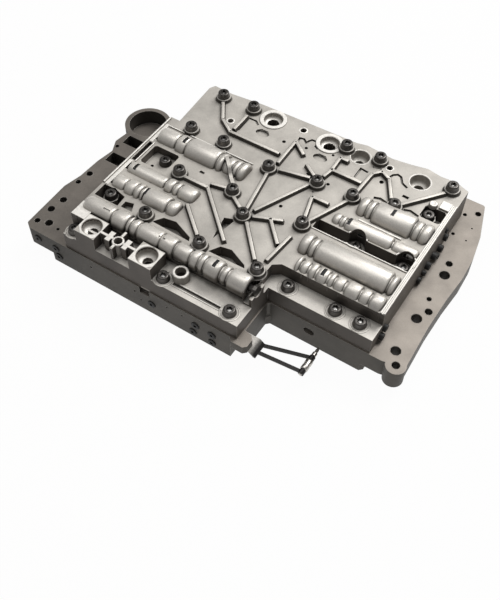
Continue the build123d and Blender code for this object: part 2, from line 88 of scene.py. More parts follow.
# Bore walls: y, bore radius, end of the bore, and the rings from the closed end as (start, end, radius)
BORE_WALLS = {
    "regulator": (11.5, 8.0, -117.0, [
        (-23, -30.5, 11.8), (-31.5, -36.5, 11.2), (-37.5, -45.5, 10.6), (-46.5, -52.5, 12.0),
        (-53.5, -87.5, 12.7), (-88.5, -99, 11.6), (-100, -120.5, 10.5)]),
    "relay": (-38.5, 5.2, -116.0, [
        (-44.5, -61.5, 9.4), (-62.5, -67.5, 8.6), (-68.5, -77, 9.0), (-78, -119.5, 7.6)]),
    "shift": (-59.5, 6.1, -116.0, [
        (-48.5, -58.5, 9.5), (-59.5, -84.5, 10.3), (-85.3, -88, 9.0), (-89, -94.5, 9.6),
        (-95.5, -105.5, 9.4), (-106.5, -120, 8.4)]),
    "damper": (34.5, 9.2, 147.0, [
        (81, 89.5, 12.2), (90.5, 95.5, 11.6), (96.5, 134, 13.4), (135, 141, 11.8), (142, 149.8, 12.2)]),
    "lockup": (9.5, 4.0, 147.0, [
        (68, 75.5, 7.4), (76.5, 80.5, 7.6), (81.5, 126, 8.2), (127, 149.8, 6.9)]),
    "accumulator": (-30.5, 8.8, 147.0, [
        (60, 69.5, 12.6), (70.5, 75.5, 11.6), (76.5, 144, 13.0), (145, 149.8, 11.8)]),
    "pressure": (-52.5, 4.8, 147.0, [
        (68, 72.5, 9.0), (73.5, 80, 8.0), (81.5, 87.5, 9.0), (89, 98.5, 8.8), (100, 104.5, 8.4),
        (105.5, 114, 8.0), (115.5, 128.5, 9.0), (129.5, 137.5, 8.4), (138.5, 149.8, 9.0)]),
    "manual": (-94.5, 5.6, 57.0, [
        (-125, -93.5, 8.8), (-92, -77, 9.9), (-76, -73, 8.9), (-72, -65.5, 8.9), (-64.5, -41.5, 9.3),
        (-40.8, -26.5, 9.3), (-25.5, -10.5, 8.5), (-9.5, -1.5, 9.2), (-0.5, 4.5, 9.0), (5.5, 20.5, 9.9),
        (22, 27.5, 8.7), (29, 47.5, 10.1)]),
}
WALL_FACETS = 56
# Cast notches in the crest of the manual valve's wall: two corners
CREST_NOTCHES = [((-103.5, -97.6, 66.9), (-96.5, -95.8, 75)), ((-43.5, -97.6, 67.3), (-37, -95.8, 75))]

# What is cut off the upper casting because it is modelled anew, cut by cut: its raised forms just under
# the deck's face, the bed of the manual valve's wall, and the two steps at that wall's right end
UPPER_CUTS = [
    [((-200, -200, DECK - 0.05), (200, 200, 90))],
    [((-124.9, -104.6, LEDGE + 0.02), (47, -94.5, DECK + 1))],
    [((47.2, -105, 50), (53, -84.2, DECK + 1)), ((53.1, -105, 58), (57, -84.2, DECK + 1))],
]

# Ribs of the deck, as paths in plan
RIBS = [
    [(-96, 79.5), (-82.5, 59), (-67, 48.5), (-13, 48.5)],
    [(-66, 76), (-66, 54)],
    [(-8, 72), (-7, 38)],
    [(-7, 71), (7, 60)],
    [(-1, 31), (27, 37)],
    [(17, 50), (30, 41)],
    [(-8, 20), (0, -26)],
    [(7, -24), (31, 30)],
    [(-43, -18), (-28, -15)],
    [(-68, -24), (-43, -24), (4, -68)],
    [(-17, -21), (-3, -30)],
    [(9, -40), (37, -71)],
    [(10, -31), (34, -21)],
    [(24, -25), (44, -46)],
    [(49, -33), (46, -66)],
    [(-46.5, -51), (-19, -75)],
    [(49, -10), (41, 18), (57, 18)],
    [(53, -9), (70, 32)],
    [(37, 46), (39, 57), (69, 57)],
    [(39, 57), (38, 75), (46, 75)],
    [(71.5, 46), (72.5, 73), (79, 80.5), (88.5, 75.5), (101, 55)],
    [(111, 52), (138, 87)],
]
# Cross section of a rib: height over the deck and full width
RIB_SECTION = [(-0.3, 5.2), (0.1, 4.8), (0.5, 4.2), (3.0, 3.6), (3.4, 3.1), (3.6, 2.4)]

# Low lines and pads on the deck: two corners in plan, and height over the deck
RIMS = [
    ((-122, 24.4), (-26, 25.8), 1.2), ((88, 17.4), (130, 19.4), 1.0), ((150.3, -61), (155, 79), 0.4),
    ((153.4, -61), (155, 79), 1.6), ((150.3, -61), (151.9, 79), 1.1), ((-128, -68), (-126.2, 35), 1.5),
    ((-120.4, -31), (-119.0, -1), 1.0), ((-126, -68), (-122.4, -31), 0.3), ((-126, -1), (-122.4, 27), 0.3),
    ((141, 69), (150.5, 79), 2.0), ((84, -12.4), (150, -11.1), 1.0), ((58, -12.4), (85, -11.1), 0.8),
]
# Closed outer faces over the mouths of the bores: two corners in plan
END_WALLS = [
    ((150.3, -61), (155.03, 79)), ((-128.03, -68), (-123, -30)), ((-128.0, -30.4), (-125.2, -1.6)),
    ((-128.03, -2), (-123, 27)),
]

# Narrow cast grooves of the deck: width, depth and path in plan
GROOVES = [
    (2.2, 2.5, [(59.8, 62.9), (59.6, 75.9), (67.4, 74.9)]),
    (2.9, 3.3, [(67.4, 84.6), (75.8, 86.2)]),
    (2.4, 2.5, [(88.4, 74), (87.0, 80.8), (88.2, 84.6), (91.8, 87.5), (95.5, 86.4), (99.7, 80.0),
                (106.3, 76.8)]),
    (3.1, 2.7, [(107.1, 66.2), (113.2, 65.8)]),
    (3.1, 2.1, [(86.5, 49.5), (92.1, 51.6), (99.5, 49.8)]),
    (2.7, 2.1, [(114.6, 50.6), (121.1, 53.1), (130.2, 50.8)]),
    (2.3, 2.5, [(7.1, 59.5), (1.4, 63.7), (-7.3, 72.7), (-8.4, 80.2), (-4.5, 81.1), (-0.1, 77.6), (0.8, 81.3),
                (2.6, 84.2), (6.4, 84.4)]),
    (2.3, 2.3, [(13.3, 76.2), (9.5, 78.6), (10.5, 84.0)]),
    (2.3, 1.9, [(-63.8, 57.0), (-64.3, 77.2), (-56.3, 77.3), (-51.5, 73.5)]),
    (3.3, 2.5, [(21.2, 44.2), (26.2, 41.2)]),
    (2.7, 2.3, [(-62.5, -8.5), (-57.5, -9.0)]),
]
# Shallow oval sinks of the deck: x, y, then the half width, half length and depth of both
OVALS = [(-42, 66.2), (20.8, 67.2)]
OVAL_WIDE, OVAL_TALL, OVAL_DEPTH = 7.0, 4.6, 2.6

# Machined faces of the front pads and webs: two corners in plan, and height over the deck
CAPS = [
    ((-112.8, -126.8), (-91.7, -105.4), 0.16), ((-127.8, -112.8), (-113.2, -95.2), 0.12),
    ((-54.3, -126.8), (-31.2, -105.4), 0.16), ((-84.3, -120.8), (-79.7, -110.2), 0.14),
    ((-66.3, -120.8), (-61.7, -110.2), 0.14), ((-91.7, -117.1), (-78.5, -114.9), 0.1),
    ((-67.5, -117.1), (-54.3, -114.9), 0.1), ((-74.1, -110.5), (-71.9, -104.5), 0.1),
    ((-74.1, -125.0), (-71.9, -121.5), 0.1),
]
# Cups sunk in those faces, by their index: x, y and radius, and the cut corners as (x, y, size)
CAP_CUPS = {
    0: (-102, -115.5, 9.6, [(-112.8, -126.8, 6.5), (-91.7, -126.8, 2.5)]),
    2: (-42.5, -115.5, 10.0, [(-54.3, -105.4, 4.5), (-31.2, -126.8, 4.0)]),
}
# Low lines on the ledge
LEDGE_RIMS = [((-13.5, -117.9), (34.5, -116.7), 0.7), ((-13.5, -122.0), (34.5, -121.2), 0.5)]

# Round ports of the deck: x, y, radius and height of the boss round it, radius and depth of its bowl,
# and radius of the dark hole in the bowl's floor
PORTS = [
    (-43, 88, 13.4, 1.0, 9.2, 4.9, 5.9), (19.3, 88.8, 13.4, 1.0, 9.2, 4.9, 5.9),
    (52, 89, 10.2, 0.15, 8.7, 9.0, 4.2), (113, 90, 10.8, 0.15, 9.2, 9.0, 4.6),
    (-102, -115.5, 10.0, 0.1, 9.2, 7.6, 4.6), (-42.5, -115.5, 10.4, 0.1, 9.6, 8.6, 4.6),
]
# Small round holes of the deck with a fine ring: x, y, radius, level of the ring, depth
SMALL_PORTS = [(-11, 91, 2.9, DECK, 12), (-77, 64, 2.7, DECK, 11), (81.5, 91, 2.7, DECK, 1.4)]
# Drilled holes too fine for the plain solids, and the rooms for the ports: x, y, radius, level, depth
DECK_DRILLINGS = [
    (-18.6, 67.5, 1.8, DECK, 6), (22.3, -5, 1.7, DECK, 8), (27.2, 24.8, 1.9, DECK, 5),
    (3.5, 71.6, 1.6, DECK, 6), (37.4, 26.3, 1.1, DECK, 5), (83.5, 70.8, 2.1, DECK, 6),
    (-109.5, -20.1, 1.6, 53.0, 5), (44, 41.6, 1.7, DECK, 5), (29.4, 77, 1.4, DECK, 5),
    (52, 89, 8.6, DECK, 9.5), (113, 90, 9.1, DECK, 9.5), (-102, -115.5, 9.15, DECK, 8.5),
    (-42.5, -115.5, 9.55, DECK, 9.5), (-73, -116, 3.8, DECK, 20), (-11, -111, 4.9, 57.0, 12),
]
# Tubes that stand on the ledges: x, y, outer and inner radius, level of the top
TUBES = [(-11, -111, 7.25, 4.8, 57.05), (-73, -116, 5.6, 3.7, 62.05)]
# The bar across the left cup, two corners, and the knob of the rear well: x, y
CUP_BAR = ((-108, -116.6, 53.2), (-96, -114.2, 54.6))
KNOB = (135.6, 69.6)
# Fine holes in the top of the flanges: x, y, radius, level, depth
FLANGE_DRILLINGS = [
    (170, 94, 0.8, FLANGE, 6), (171.4, 77.5, 0.8, FLANGE, 6), (157.9, 78.7, 1.7, FLANGE, 9),
    (157.4, 106.5, 1.9, FLANGE, 9), (-148, -115.5, 1.6, FLANGE, 9), (-171, 1, 2.0, FLANGE, 9),
]
# Round holes through the flanges of the base casting: x, y, radius
FLANGE_HOLES = [
    (-170, -99.5, 3.7), (172, 30, 5.0), (172, -26, 5.0), (178.5, -77.5, 3.7), (-168, -84.5, 3.7),
    (-160, -114, 4.0), (-171, -117.5, 3.0), (-171.5, -58.5, 2.8), (-169.5, -44, 3.4), (167.5, 114, 3.0),
    (170, 44, 3.4), (172, -1.5, 2.4), (177.5, -14, 3.6), (172, -65, 4.8),
]
# Fine holes in the front wall of the base casting: x, z, radius, and the reach of their drill along Y
FRONT_HOLES = [(-100.6, 20, 1.2), (-51, 20, 1.2), (-16, 22, 1.0), (-45, 12, 0.9), (0, 22, 1.0)]
FRONT_DRILL = (-132, -124)
# Cast recess in the same wall, two corners, and the oval port in the notch's back wall: x, z, half width
# and half height, and the reach of its cutter along Y
FRONT_RECESS = ((-45, -132, 23), (-34.5, -125, 31))
NOTCH_PORT = (98.6, 18, 5.4, 4.0, -86, -70)
# Black gallery plugs of the front wall: x, z and radius, and where they start and end along Y
FRONT_PLUGS = [
    (-163, 20, 4.0), (-142, 19, 4.0), (-140, 9, 4.2), (-33, 14, 4.2), (14, 18, 4.2), (11, 7, 4.0),
    (31, 17, 4.2), (31, 6, 4.0),
]
FRONT_PLUG_REACH = (-122.5, -129.2)
# Those of the right wall: y, z, radius and how far they stand out, and where they start along X.
# The last four have no solid of their own
SIDE_PLUGS = [
    (61, 41, 3.6, 3.2), (51, 36, 3.6, 4.2), (25, 38, 3.8, 4.0), (9, 34, 3.0, 3.0), (-56, 40, 3.6, 3.0),
    (-62, 35, 3.4, 3.6), (61, 50, 2.6, 1.8), (36, 40, 3.6, 4.4), (42, 35, 3.0, 4.6), (18, 35, 2.6, 3.4),
]
RIGHT_WALL = 155
SIDE_PLUG_FOOT = 149.5

# Outer faces of the turned end plugs, left and right
END_PLUG_FACES = (-118.0, 148.0)


def linear(text):
    """Linear red, green and blue of an sRGB colour written as six hex digits."""
    values = [int(text[i:i + 2], 16) / 255 for i in (0, 2, 4)]
    return tuple(v / 12.92 if v <= 0.04045 else ((v + 0.055) / 1.055) ** 2.4 for v in values)


def rgba(colour):
    """A colour with full opacity, as sockets want it."""
    return (*colour[:3], 1.0)


class ValveBodyColours(bpy.types.PropertyGroup):
    deck: bpy.props.FloatVectorProperty(
        name="Deck", description="Blasted tops of the upper casting", subtype="COLOR",
        default=linear("C8C3BB"))
    bulge: bpy.props.FloatVectorProperty(
        name="Bore walls", description="Smooth cast skin of the bore walls", subtype="COLOR",
        default=linear("E3DED6"))
    # Darker than the deck: this colour of the upright walls is painted shade
    wall: bpy.props.FloatVectorProperty(
        name="Walls", description="Upright cast walls", subtype="COLOR", default=linear("5E5852"))
    flange: bpy.props.FloatVectorProperty(
        name="Flange", description="Top of the base casting", subtype="COLOR", default=linear("9F978E"))
    # Darker than the flange: this colour of the base's upright walls is painted shade
    shaded_base_wall: bpy.props.FloatVectorProperty(
        name="Base walls", description="Upright walls of the base casting", subtype="COLOR",
        default=linear("5E5A54"))
    bolt: bpy.props.FloatVectorProperty(
        name="Bolts", description="Black oxide steel", subtype="COLOR", default=linear("5A5754"))
    plug: bpy.props.FloatVectorProperty(
        name="Plugs", description="Black plugs and clips", subtype="COLOR", default=linear("1B1A19"))


class ValveBodySizes(bpy.types.PropertyGroup):
    washer: bpy.props.FloatProperty(
        name="Washer face", description="Thickness of the bolts' washer faces", unit="LENGTH",
        default=1.2 * MM)
    groove: bpy.props.FloatProperty(
        name="Groove depth", description="Depth of the grooves between the rings of a bore wall",
        unit="LENGTH", default=1.7 * MM)
    dome: bpy.props.FloatProperty(
        name="Closed end", description="Rounding of a bore wall's closed end", unit="LENGTH",
        default=4.5 * MM)
    shoulder: bpy.props.FloatProperty(
        name="Shoulder", description="Rounding of each ring of a bore wall", unit="LENGTH",
        default=2.4 * MM)
    bay: bpy.props.FloatProperty(
        name="Bolt bay", description="Radius of the round bays of the trough's bolts", unit="LENGTH",
        default=8.7 * MM)


def deselect():
    """Nothing is selected, in object mode."""
    if bpy.context.object and bpy.context.object.mode != "OBJECT":
        bpy.ops.object.mode_set(mode="OBJECT")
    bpy.ops.object.select_all(action="DESELECT")


def pick(*pieces):
    """Selects these pieces alone; the first is active."""
    deselect()
    for piece in pieces:
        piece.select_set(True)
    bpy.context.view_layer.objects.active = pieces[0]


def settle(piece, name):
    """Names a piece and puts its place into its mesh."""
    pick(piece)
    bpy.ops.object.transform_apply(location=True, rotation=True, scale=True)
    piece.name = name
    piece.data.name = name
    return piece


def edit_all(piece):
    """Enters edit mode with everything selected."""
    pick(piece)
    bpy.ops.object.mode_set(mode="EDIT")
    bpy.ops.mesh.select_all(action="SELECT")


def select_faces(piece, test):
    """In edit mode, selects the faces whose centre and normal pass the test."""
    bpy.ops.object.mode_set(mode="OBJECT")
    for vertex in piece.data.vertices:
        vertex.select = False
    for edge in piece.data.edges:
        edge.select = False
    for face in piece.data.polygons:
        face.select = test(face.center, face.normal)
    bpy.ops.object.mode_set(mode="EDIT")


def modify(piece, kind, **settings):
    """Adds a modifier and applies it."""
    pick(piece)
    bpy.ops.object.modifier_add(type=kind)
    modifier = piece.modifiers[-1]
    for key, value in settings.items():
        setattr(modifier, key, value)
    bpy.ops.object.modifier_apply(modifier=modifier.name)
    return piece


def smooth(piece, degrees=35):
    """Smooth shading up to an angle."""
    pick(piece)
    bpy.ops.object.shade_smooth_by_angle(angle=math.radians(degrees))
    return piece


def join(pieces, name):
    """Several pieces as one."""
    pick(*pieces)
    if len(pieces) > 1:
        bpy.ops.object.join()
    pieces[0].name = name
    pieces[0].data.name = name
    return pieces[0]


def copy_piece(model):
    """A copy with its own mesh."""
    pick(model)
    bpy.ops.object.duplicate()
    return bpy.context.object


def placed(model, x, y, z=0.0, turn=0.0):
    """A copy of a piece that was modelled on the origin, moved to a place in millimetres."""
    piece = copy_piece(model)
    piece.rotation_euler.z = turn
    piece.location = (x * MM, y * MM, z * MM)
    bpy.ops.object.transform_apply(location=True, rotation=True, scale=True)
    return piece


def dress(piece, finish, body="casing"):
    """Gives a piece its material and its body."""
    piece.data.materials.clear()
    piece.data.materials.append(finish_of(finish))
    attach(piece, body)


def turned(name, profile, centre=(0, 0, 0), axis="Z", facets=48, hollow=False):
    """A turned piece: a disc extruded and scaled ring by ring along a profile, in millimetres.

    The profile lists (place, radius), with the places along the axis. The centre says where the axis
    passes on the other two. A hollow piece has no ends: its last ring is joined to its first.
    """
    way = {"X": Vector((1, 0, 0)), "Y": Vector((0, 1, 0)), "Z": Vector((0, 0, 1))}[axis]
    turn = {"X": (0, math.pi / 2, 0), "Y": (-math.pi / 2, 0, 0), "Z": (0, 0, 0)}[axis]
    middle = Vector(centre) * MM
    place, radius = profile[0]
    deselect()
    bpy.ops.mesh.primitive_circle_add(
        vertices=facets, radius=radius * MM, fill_type="NOTHING" if hollow else "NGON",
        location=middle + way * place * MM, rotation=turn)
    piece = bpy.context.object
    bpy.ops.object.transform_apply(location=True, rotation=True, scale=True)
    edit_all(piece)
    for next_place, next_radius in profile[1:]:
        step = way * (next_place - place) * MM
        bpy.ops.mesh.extrude_region_move(TRANSFORM_OT_translate={"value": step})
        here = middle + way * next_place * MM
        bpy.ops.transform.resize(value=[next_radius / radius] * 3, center_override=here)
        place, radius = next_place, next_radius
    if hollow:
        bpy.ops.mesh.select_mode(type="EDGE")
        bpy.ops.mesh.select_all(action="DESELECT")
        bpy.ops.mesh.select_non_manifold(extend=False)
        bpy.ops.mesh.bridge_edge_loops()
        bpy.ops.mesh.select_mode(type="VERT")
    bpy.ops.mesh.select_all(action="SELECT")
    bpy.ops.mesh.normals_make_consistent(inside=False)
    return settle(piece, name)


def slab(low, high, name="slab", bevel=0.0):
    """A box between two corners in millimetres, with rounded edges where a bevel is given."""
    low = Vector(low) * MM
    high = Vector(high) * MM
    deselect()
    bpy.ops.mesh.primitive_cube_add(size=1, location=(low + high) / 2, scale=high - low)
    piece = settle(bpy.context.object, name)
    if bevel:
        modify(piece, "BEVEL", width=bevel * MM, segments=2, limit_method="ANGLE")
    return piece


def ribbon(path, width, low, high):
    """A strip of even width along a path in plan, with mitred corners, between two levels."""
    deselect()
    bpy.ops.mesh.primitive_grid_add(x_subdivisions=len(path) - 1, y_subdivisions=1, size=1)
    piece = bpy.context.object
    ways = [(Vector(b) - Vector(a)).normalized() for a, b in zip(path, path[1:])]
    for index, point in enumerate(path):
        before, after = ways[max(index - 1, 0)], ways[min(index, len(ways) - 1)]
        along = (before + after).normalized()
        across = Vector((-along.y, along.x)) * width / 2 / max(along.dot(after), 0.5)
        for row, side in ((0, -1), (1, 1)):
            place = Vector(point) + across * side
            piece.data.vertices[row * len(path) + index].co = Vector((place.x, place.y, low)) * MM
    edit_all(piece)
    bpy.ops.mesh.extrude_region_move(TRANSFORM_OT_translate={"value": (0, 0, (high - low) * MM)})
    bpy.ops.mesh.select_all(action="SELECT")
    bpy.ops.mesh.normals_make_consistent(inside=False)
    return settle(piece, "ribbon")


def islands(name):
    """The boxes of a node's separate solids, as (lowest corner, highest corner), from left to right."""
    mesh = nodes[name].data
    keys = [tuple(round(value, 6) for value in vertex.co) for vertex in mesh.vertices]
    leader = {}

    def find(key):
        while leader.setdefault(key, key) != key:
            key = leader[key]
        return key

    for face in mesh.polygons:
        first = find(keys[face.vertices[0]])
        for index in face.vertices[1:]:
            other = find(keys[index])
            if other != first:
                leader[other] = first
    groups = {}
    for key in keys:
        groups.setdefault(find(key), []).append(key)
    boxes = []
    for group in groups.values():
        columns = list(zip(*group))
        boxes.append((Vector([min(c) for c in columns]), Vector([max(c) for c in columns])))
    return sorted(boxes, key=lambda box: (box[0].x, box[0].y))


def places(name):
    """Where a node's separate solids stand, in millimetres: middle x, middle y and top."""
    for low, high in islands(name):
        middle = (low + high) / 2 / MM
        yield middle.x, middle.y, high.z / MM


def copy_of(name):
    """A copy of a node's mesh without the node's own marks, the corners of its triangles merged."""
    piece = copy_piece(nodes[name])
    for key in list(piece.keys()):
        del piece[key]
    bpy.ops.object.parent_clear(type="CLEAR_KEEP_TRANSFORM")
    edit_all(piece)
    bpy.ops.mesh.remove_doubles(threshold=0.002 * MM)
    bpy.ops.object.mode_set(mode="OBJECT")
    return piece


def carve(piece, cutters, solver="EXACT"):
    """Cuts shapes out of a piece. The manifold solver is the surer one for the closed bore walls."""
    tool = join(cutters, "cutter")
    modify(piece, "BOOLEAN", object=tool, operation="DIFFERENCE", solver=solver)
    bpy.data.objects.remove(tool)
    return piece


def drill(x, y, radius, level, depth):
    """A cutter for one round hole, with a cone at its foot."""
    floor = level - depth
    profile = [(level + 1, radius), (floor, radius), (floor - radius * 0.6, radius * 0.02)]
    return turned("drill", profile, (x, y, 0), "Z", 20)


def blind_end(rings, mouth):
    """The inner end of a bore, behind the closed end of its wall."""
    return rings[0][0] + math.copysign(BLIND, mouth - rings[0][0])


def clear_bores(piece):
    """Cuts the bores out of a piece that crosses them, so that the valves can slide."""
    xs, ys = ([getattr(v.co, axis) / MM for v in piece.data.vertices] for axis in "xy")
    for y, bore, mouth, rings in BORE_WALLS.values():
        low, high = sorted((blind_end(rings, mouth), mouth))
        if min(ys) < y + bore and max(ys) > y - bore and min(xs) < high and max(xs) > low:
            carve(piece, [turned("bore_cutter", [(low - 0.3, bore + 0.05), (high, bore + 0.05)],
                                 (0, y, AXIS), "X", 40)])
    return piece


def oval_cutter(x, y, z, axis, low, high, wide, tall):
    """A cutter of oval section along an axis; wide is its half width along X, tall the other one."""
    piece = turned("oval", [(low, tall), (high, tall)], (0, y, z), axis, 32)
    piece.scale.x = wide / tall
    piece.location.x = x * MM
    return settle(piece, "oval")


def add_node(tree, kind, inputs=None, **settings):
    """Adds a node with its settings; an input is a value, or the output that feeds it."""
    node = tree.nodes.new(kind)
    for key, value in settings.items():
        setattr(node, key, value)
    for key, value in (inputs or {}).items():
        if isinstance(value, bpy.types.NodeSocket):
            tree.links.new(value, node.inputs[key])
        else:
            node.inputs[key].default_value = value
    return node


def new_material(name):
    """An empty node material and its tree, with the shader and output in place."""
    material = bpy.data.materials.new(name)
    material.use_nodes = True
    tree = material.node_tree
    tree.nodes.clear()
    shader = tree.nodes.new("ShaderNodeBsdfPrincipled")
    output = tree.nodes.new("ShaderNodeOutputMaterial")
    tree.links.new(shader.outputs["BSDF"], output.inputs["Surface"])
    return material, tree, shader


def cast_aluminium(name, top, wall, grit=0.9, low=0.35, high=0.97, metallic=0.5, stain=0.74, wear_and_highlight=0.5,
                   gloss=0.5, crevice_shade=0.55, left_shade=1.0):
    """Die-cast aluminium, blasted: pale where a surface faces up, brown-grey on the cast walls as painted
    shade by tilt.

    Grit of about 0.5 mm is drawn at 0.9 mm, because finer grit wouldn't show. Crevices are darkened by
    ambient occlusion as painted shade, and edges are lightened as wear and a painted highlight. low and
    high are the tilts between wall and top. The ledges' level is paler. left_shade darkens the left end
    as painted shade.
    """
    material, tree, shader = new_material(name)
    place = add_node(tree, "ShaderNodeTexCoord")
    split = add_node(tree, "ShaderNodeSeparateXYZ", {"Vector": place.outputs["Normal"]})
    # Painted shade by tilt: faces that point up take the top colour, upright faces the darker wall colour
    painted_light_by_tilt = add_node(tree, "ShaderNodeMapRange", {
        "Value": split.outputs["Z"], "From Min": low, "From Max": high}, interpolation_type="SMOOTHSTEP")
    stains = add_node(tree, "ShaderNodeTexNoise", {
        "Vector": place.outputs["Object"], "Scale": 38.0, "Detail": 5.0, "Roughness": 0.6})
    grains = add_node(tree, "ShaderNodeTexNoise", {
        "Vector": place.outputs["Object"], "Scale": 1000.0 / grit, "Detail": 2.0})
    where = add_node(tree, "ShaderNodeSeparateXYZ", {"Vector": place.outputs["Object"]})
    # The ledges' level takes a paler colour
    ledge_level = add_node(tree, "ShaderNodeMath", {0: where.outputs["Z"], 1: LEDGE * MM, 2: 0.4 * MM},
                      operation="COMPARE")
    face = add_node(tree, "ShaderNodeMix", {
        0: ledge_level.outputs["Value"], 6: rgba(top), 7: rgba(linear("E3DED6"))}, data_type="RGBA")
    base = add_node(tree, "ShaderNodeMix", {
        0: painted_light_by_tilt.outputs["Result"], 6: rgba(wall), 7: face.outputs[2]}, data_type="RGBA")
    # Painted shade: the left end darkens towards x = -150 mm, as if it lay in shadow
    painted_left_shade = add_node(tree, "ShaderNodeMapRange", {
        "Value": where.outputs["X"], "From Min": -0.150, "From Max": -0.085, "To Min": left_shade, "To Max": 1.0})
    shade = add_node(tree, "ShaderNodeMapRange", {
        "Value": stains.outputs["Fac"], "From Min": 0.3, "From Max": 0.7, "To Min": stain, "To Max": 1.06})
    speck = add_node(tree, "ShaderNodeMapRange", {
        "Value": grains.outputs["Fac"], "From Min": 0.3, "From Max": 0.7, "To Min": 0.9, "To Max": 1.08})
    mixed = add_node(tree, "ShaderNodeMath", {0: shade.outputs["Result"], 1: speck.outputs["Result"]},
                     operation="MULTIPLY")
    tone = add_node(tree, "ShaderNodeMath", {0: mixed.outputs["Value"], 1: painted_left_shade.outputs["Result"]},
                    operation="MULTIPLY")
    stained_and_shaded = add_node(tree, "ShaderNodeVectorMath", {
        0: base.outputs[2], 1: tone.outputs["Value"]}, operation="MULTIPLY")
    # Painted shade: crevices and corners darkened by ambient occlusion
    nook = add_node(tree, "ShaderNodeAmbientOcclusion", {"Distance": 6 * MM}, samples=8)
    nook_shade = add_node(tree, "ShaderNodeMapRange", {
        "Value": nook.outputs["AO"], "From Min": 0.2, "From Max": 0.85, "To Min": crevice_shade, "To Max": 1.0})
    crevice_shaded = add_node(tree, "ShaderNodeVectorMath", {
        0: stained_and_shaded.outputs["Vector"], 1: nook_shade.outputs["Result"]}, operation="MULTIPLY")
    rounded = add_node(tree, "ShaderNodeBevel", {"Radius": 0.6 * MM}, samples=6)
    surface = add_node(tree, "ShaderNodeNewGeometry")
    meet = add_node(tree, "ShaderNodeVectorMath", {
        0: rounded.outputs["Normal"], 1: surface.outputs["Normal"]}, operation="DOT_PRODUCT")
    # Edges lightened towards a pale colour: wear, and a painted highlight along every edge
    edge = add_node(tree, "ShaderNodeMapRange", {
        "Value": meet.outputs["Value"], "From Min": 0.98, "From Max": 0.75, "To Min": 0.0, "To Max": wear_and_highlight})
    worn_and_highlit_edges = add_node(tree, "ShaderNodeMix", {
        0: edge.outputs["Result"], 6: crevice_shaded.outputs["Vector"], 7: rgba(linear("E2DED7"))}, data_type="RGBA")
    shine = add_node(tree, "ShaderNodeMapRange", {
        "Value": grains.outputs["Fac"], "From Min": 0.3, "From Max": 0.7,
        "To Min": gloss, "To Max": gloss + 0.12})
    bump = add_node(tree, "ShaderNodeBump", {
        "Height": grains.outputs["Fac"], "Strength": 0.22, "Distance": 0.12 * MM,
        "Normal": rounded.outputs["Normal"]})
    tree.links.new(worn_and_highlit_edges.outputs[2], shader.inputs["Base Color"])
    tree.links.new(shine.outputs["Result"], shader.inputs["Roughness"])
    tree.links.new(bump.outputs["Normal"], shader.inputs["Normal"])
    shader.inputs["Metallic"].default_value = metallic
    return material


def steel(name, colour, roughness, metallic=0.9, ring=0.35, root=None):
    """Steel with faint lathe or rolling marks; ring is the marks' pitch in millimetres.

    They are drawn four times as coarse, because finer ones wouldn't show. root is the bare colour of the
    leaf's clamped end, where the blueing stops.
    """
    material, tree, shader = new_material(name)
    place = add_node(tree, "ShaderNodeTexCoord")
    marks = add_node(tree, "ShaderNodeTexNoise", {
        "Vector": place.outputs["Object"], "Scale": 1000.0 / ring / 4, "Detail": 3.0})
    tone = add_node(tree, "ShaderNodeMapRange", {
        "Value": marks.outputs["Fac"], "From Min": 0.3, "From Max": 0.7, "To Min": 0.78, "To Max": 1.15})
    shade = add_node(tree, "ShaderNodeVectorMath", {0: colour[:3], 1: tone.outputs["Result"]},
                     operation="MULTIPLY")
    if root:
        where = add_node(tree, "ShaderNodeSeparateXYZ", {"Vector": place.outputs["Object"]})
        bare = add_node(tree, "ShaderNodeMapRange", {
            "Value": where.outputs["X"], "From Min": 0.066, "From Max": 0.072, "To Min": 1.0, "To Max": 0.0})
        blend = add_node(tree, "ShaderNodeMix", {
            0: bare.outputs["Result"], 6: rgba(colour), 7: rgba(root)}, data_type="RGBA")
        tree.links.new(blend.outputs[2], shade.inputs[0])
    gloss = add_node(tree, "ShaderNodeMapRange", {
        "Value": marks.outputs["Fac"], "From Min": 0.3, "From Max": 0.7,
        "To Min": roughness - 0.06, "To Max": roughness + 0.08})
    bump = add_node(tree, "ShaderNodeBump", {
        "Height": marks.outputs["Fac"], "Strength": 0.15, "Distance": 0.05 * MM})
    tree.links.new(shade.outputs["Vector"], shader.inputs["Base Color"])
    tree.links.new(gloss.outputs["Result"], shader.inputs["Roughness"])
    tree.links.new(bump.outputs["Normal"], shader.inputs["Normal"])
    shader.inputs["Metallic"].default_value = metallic
    return material


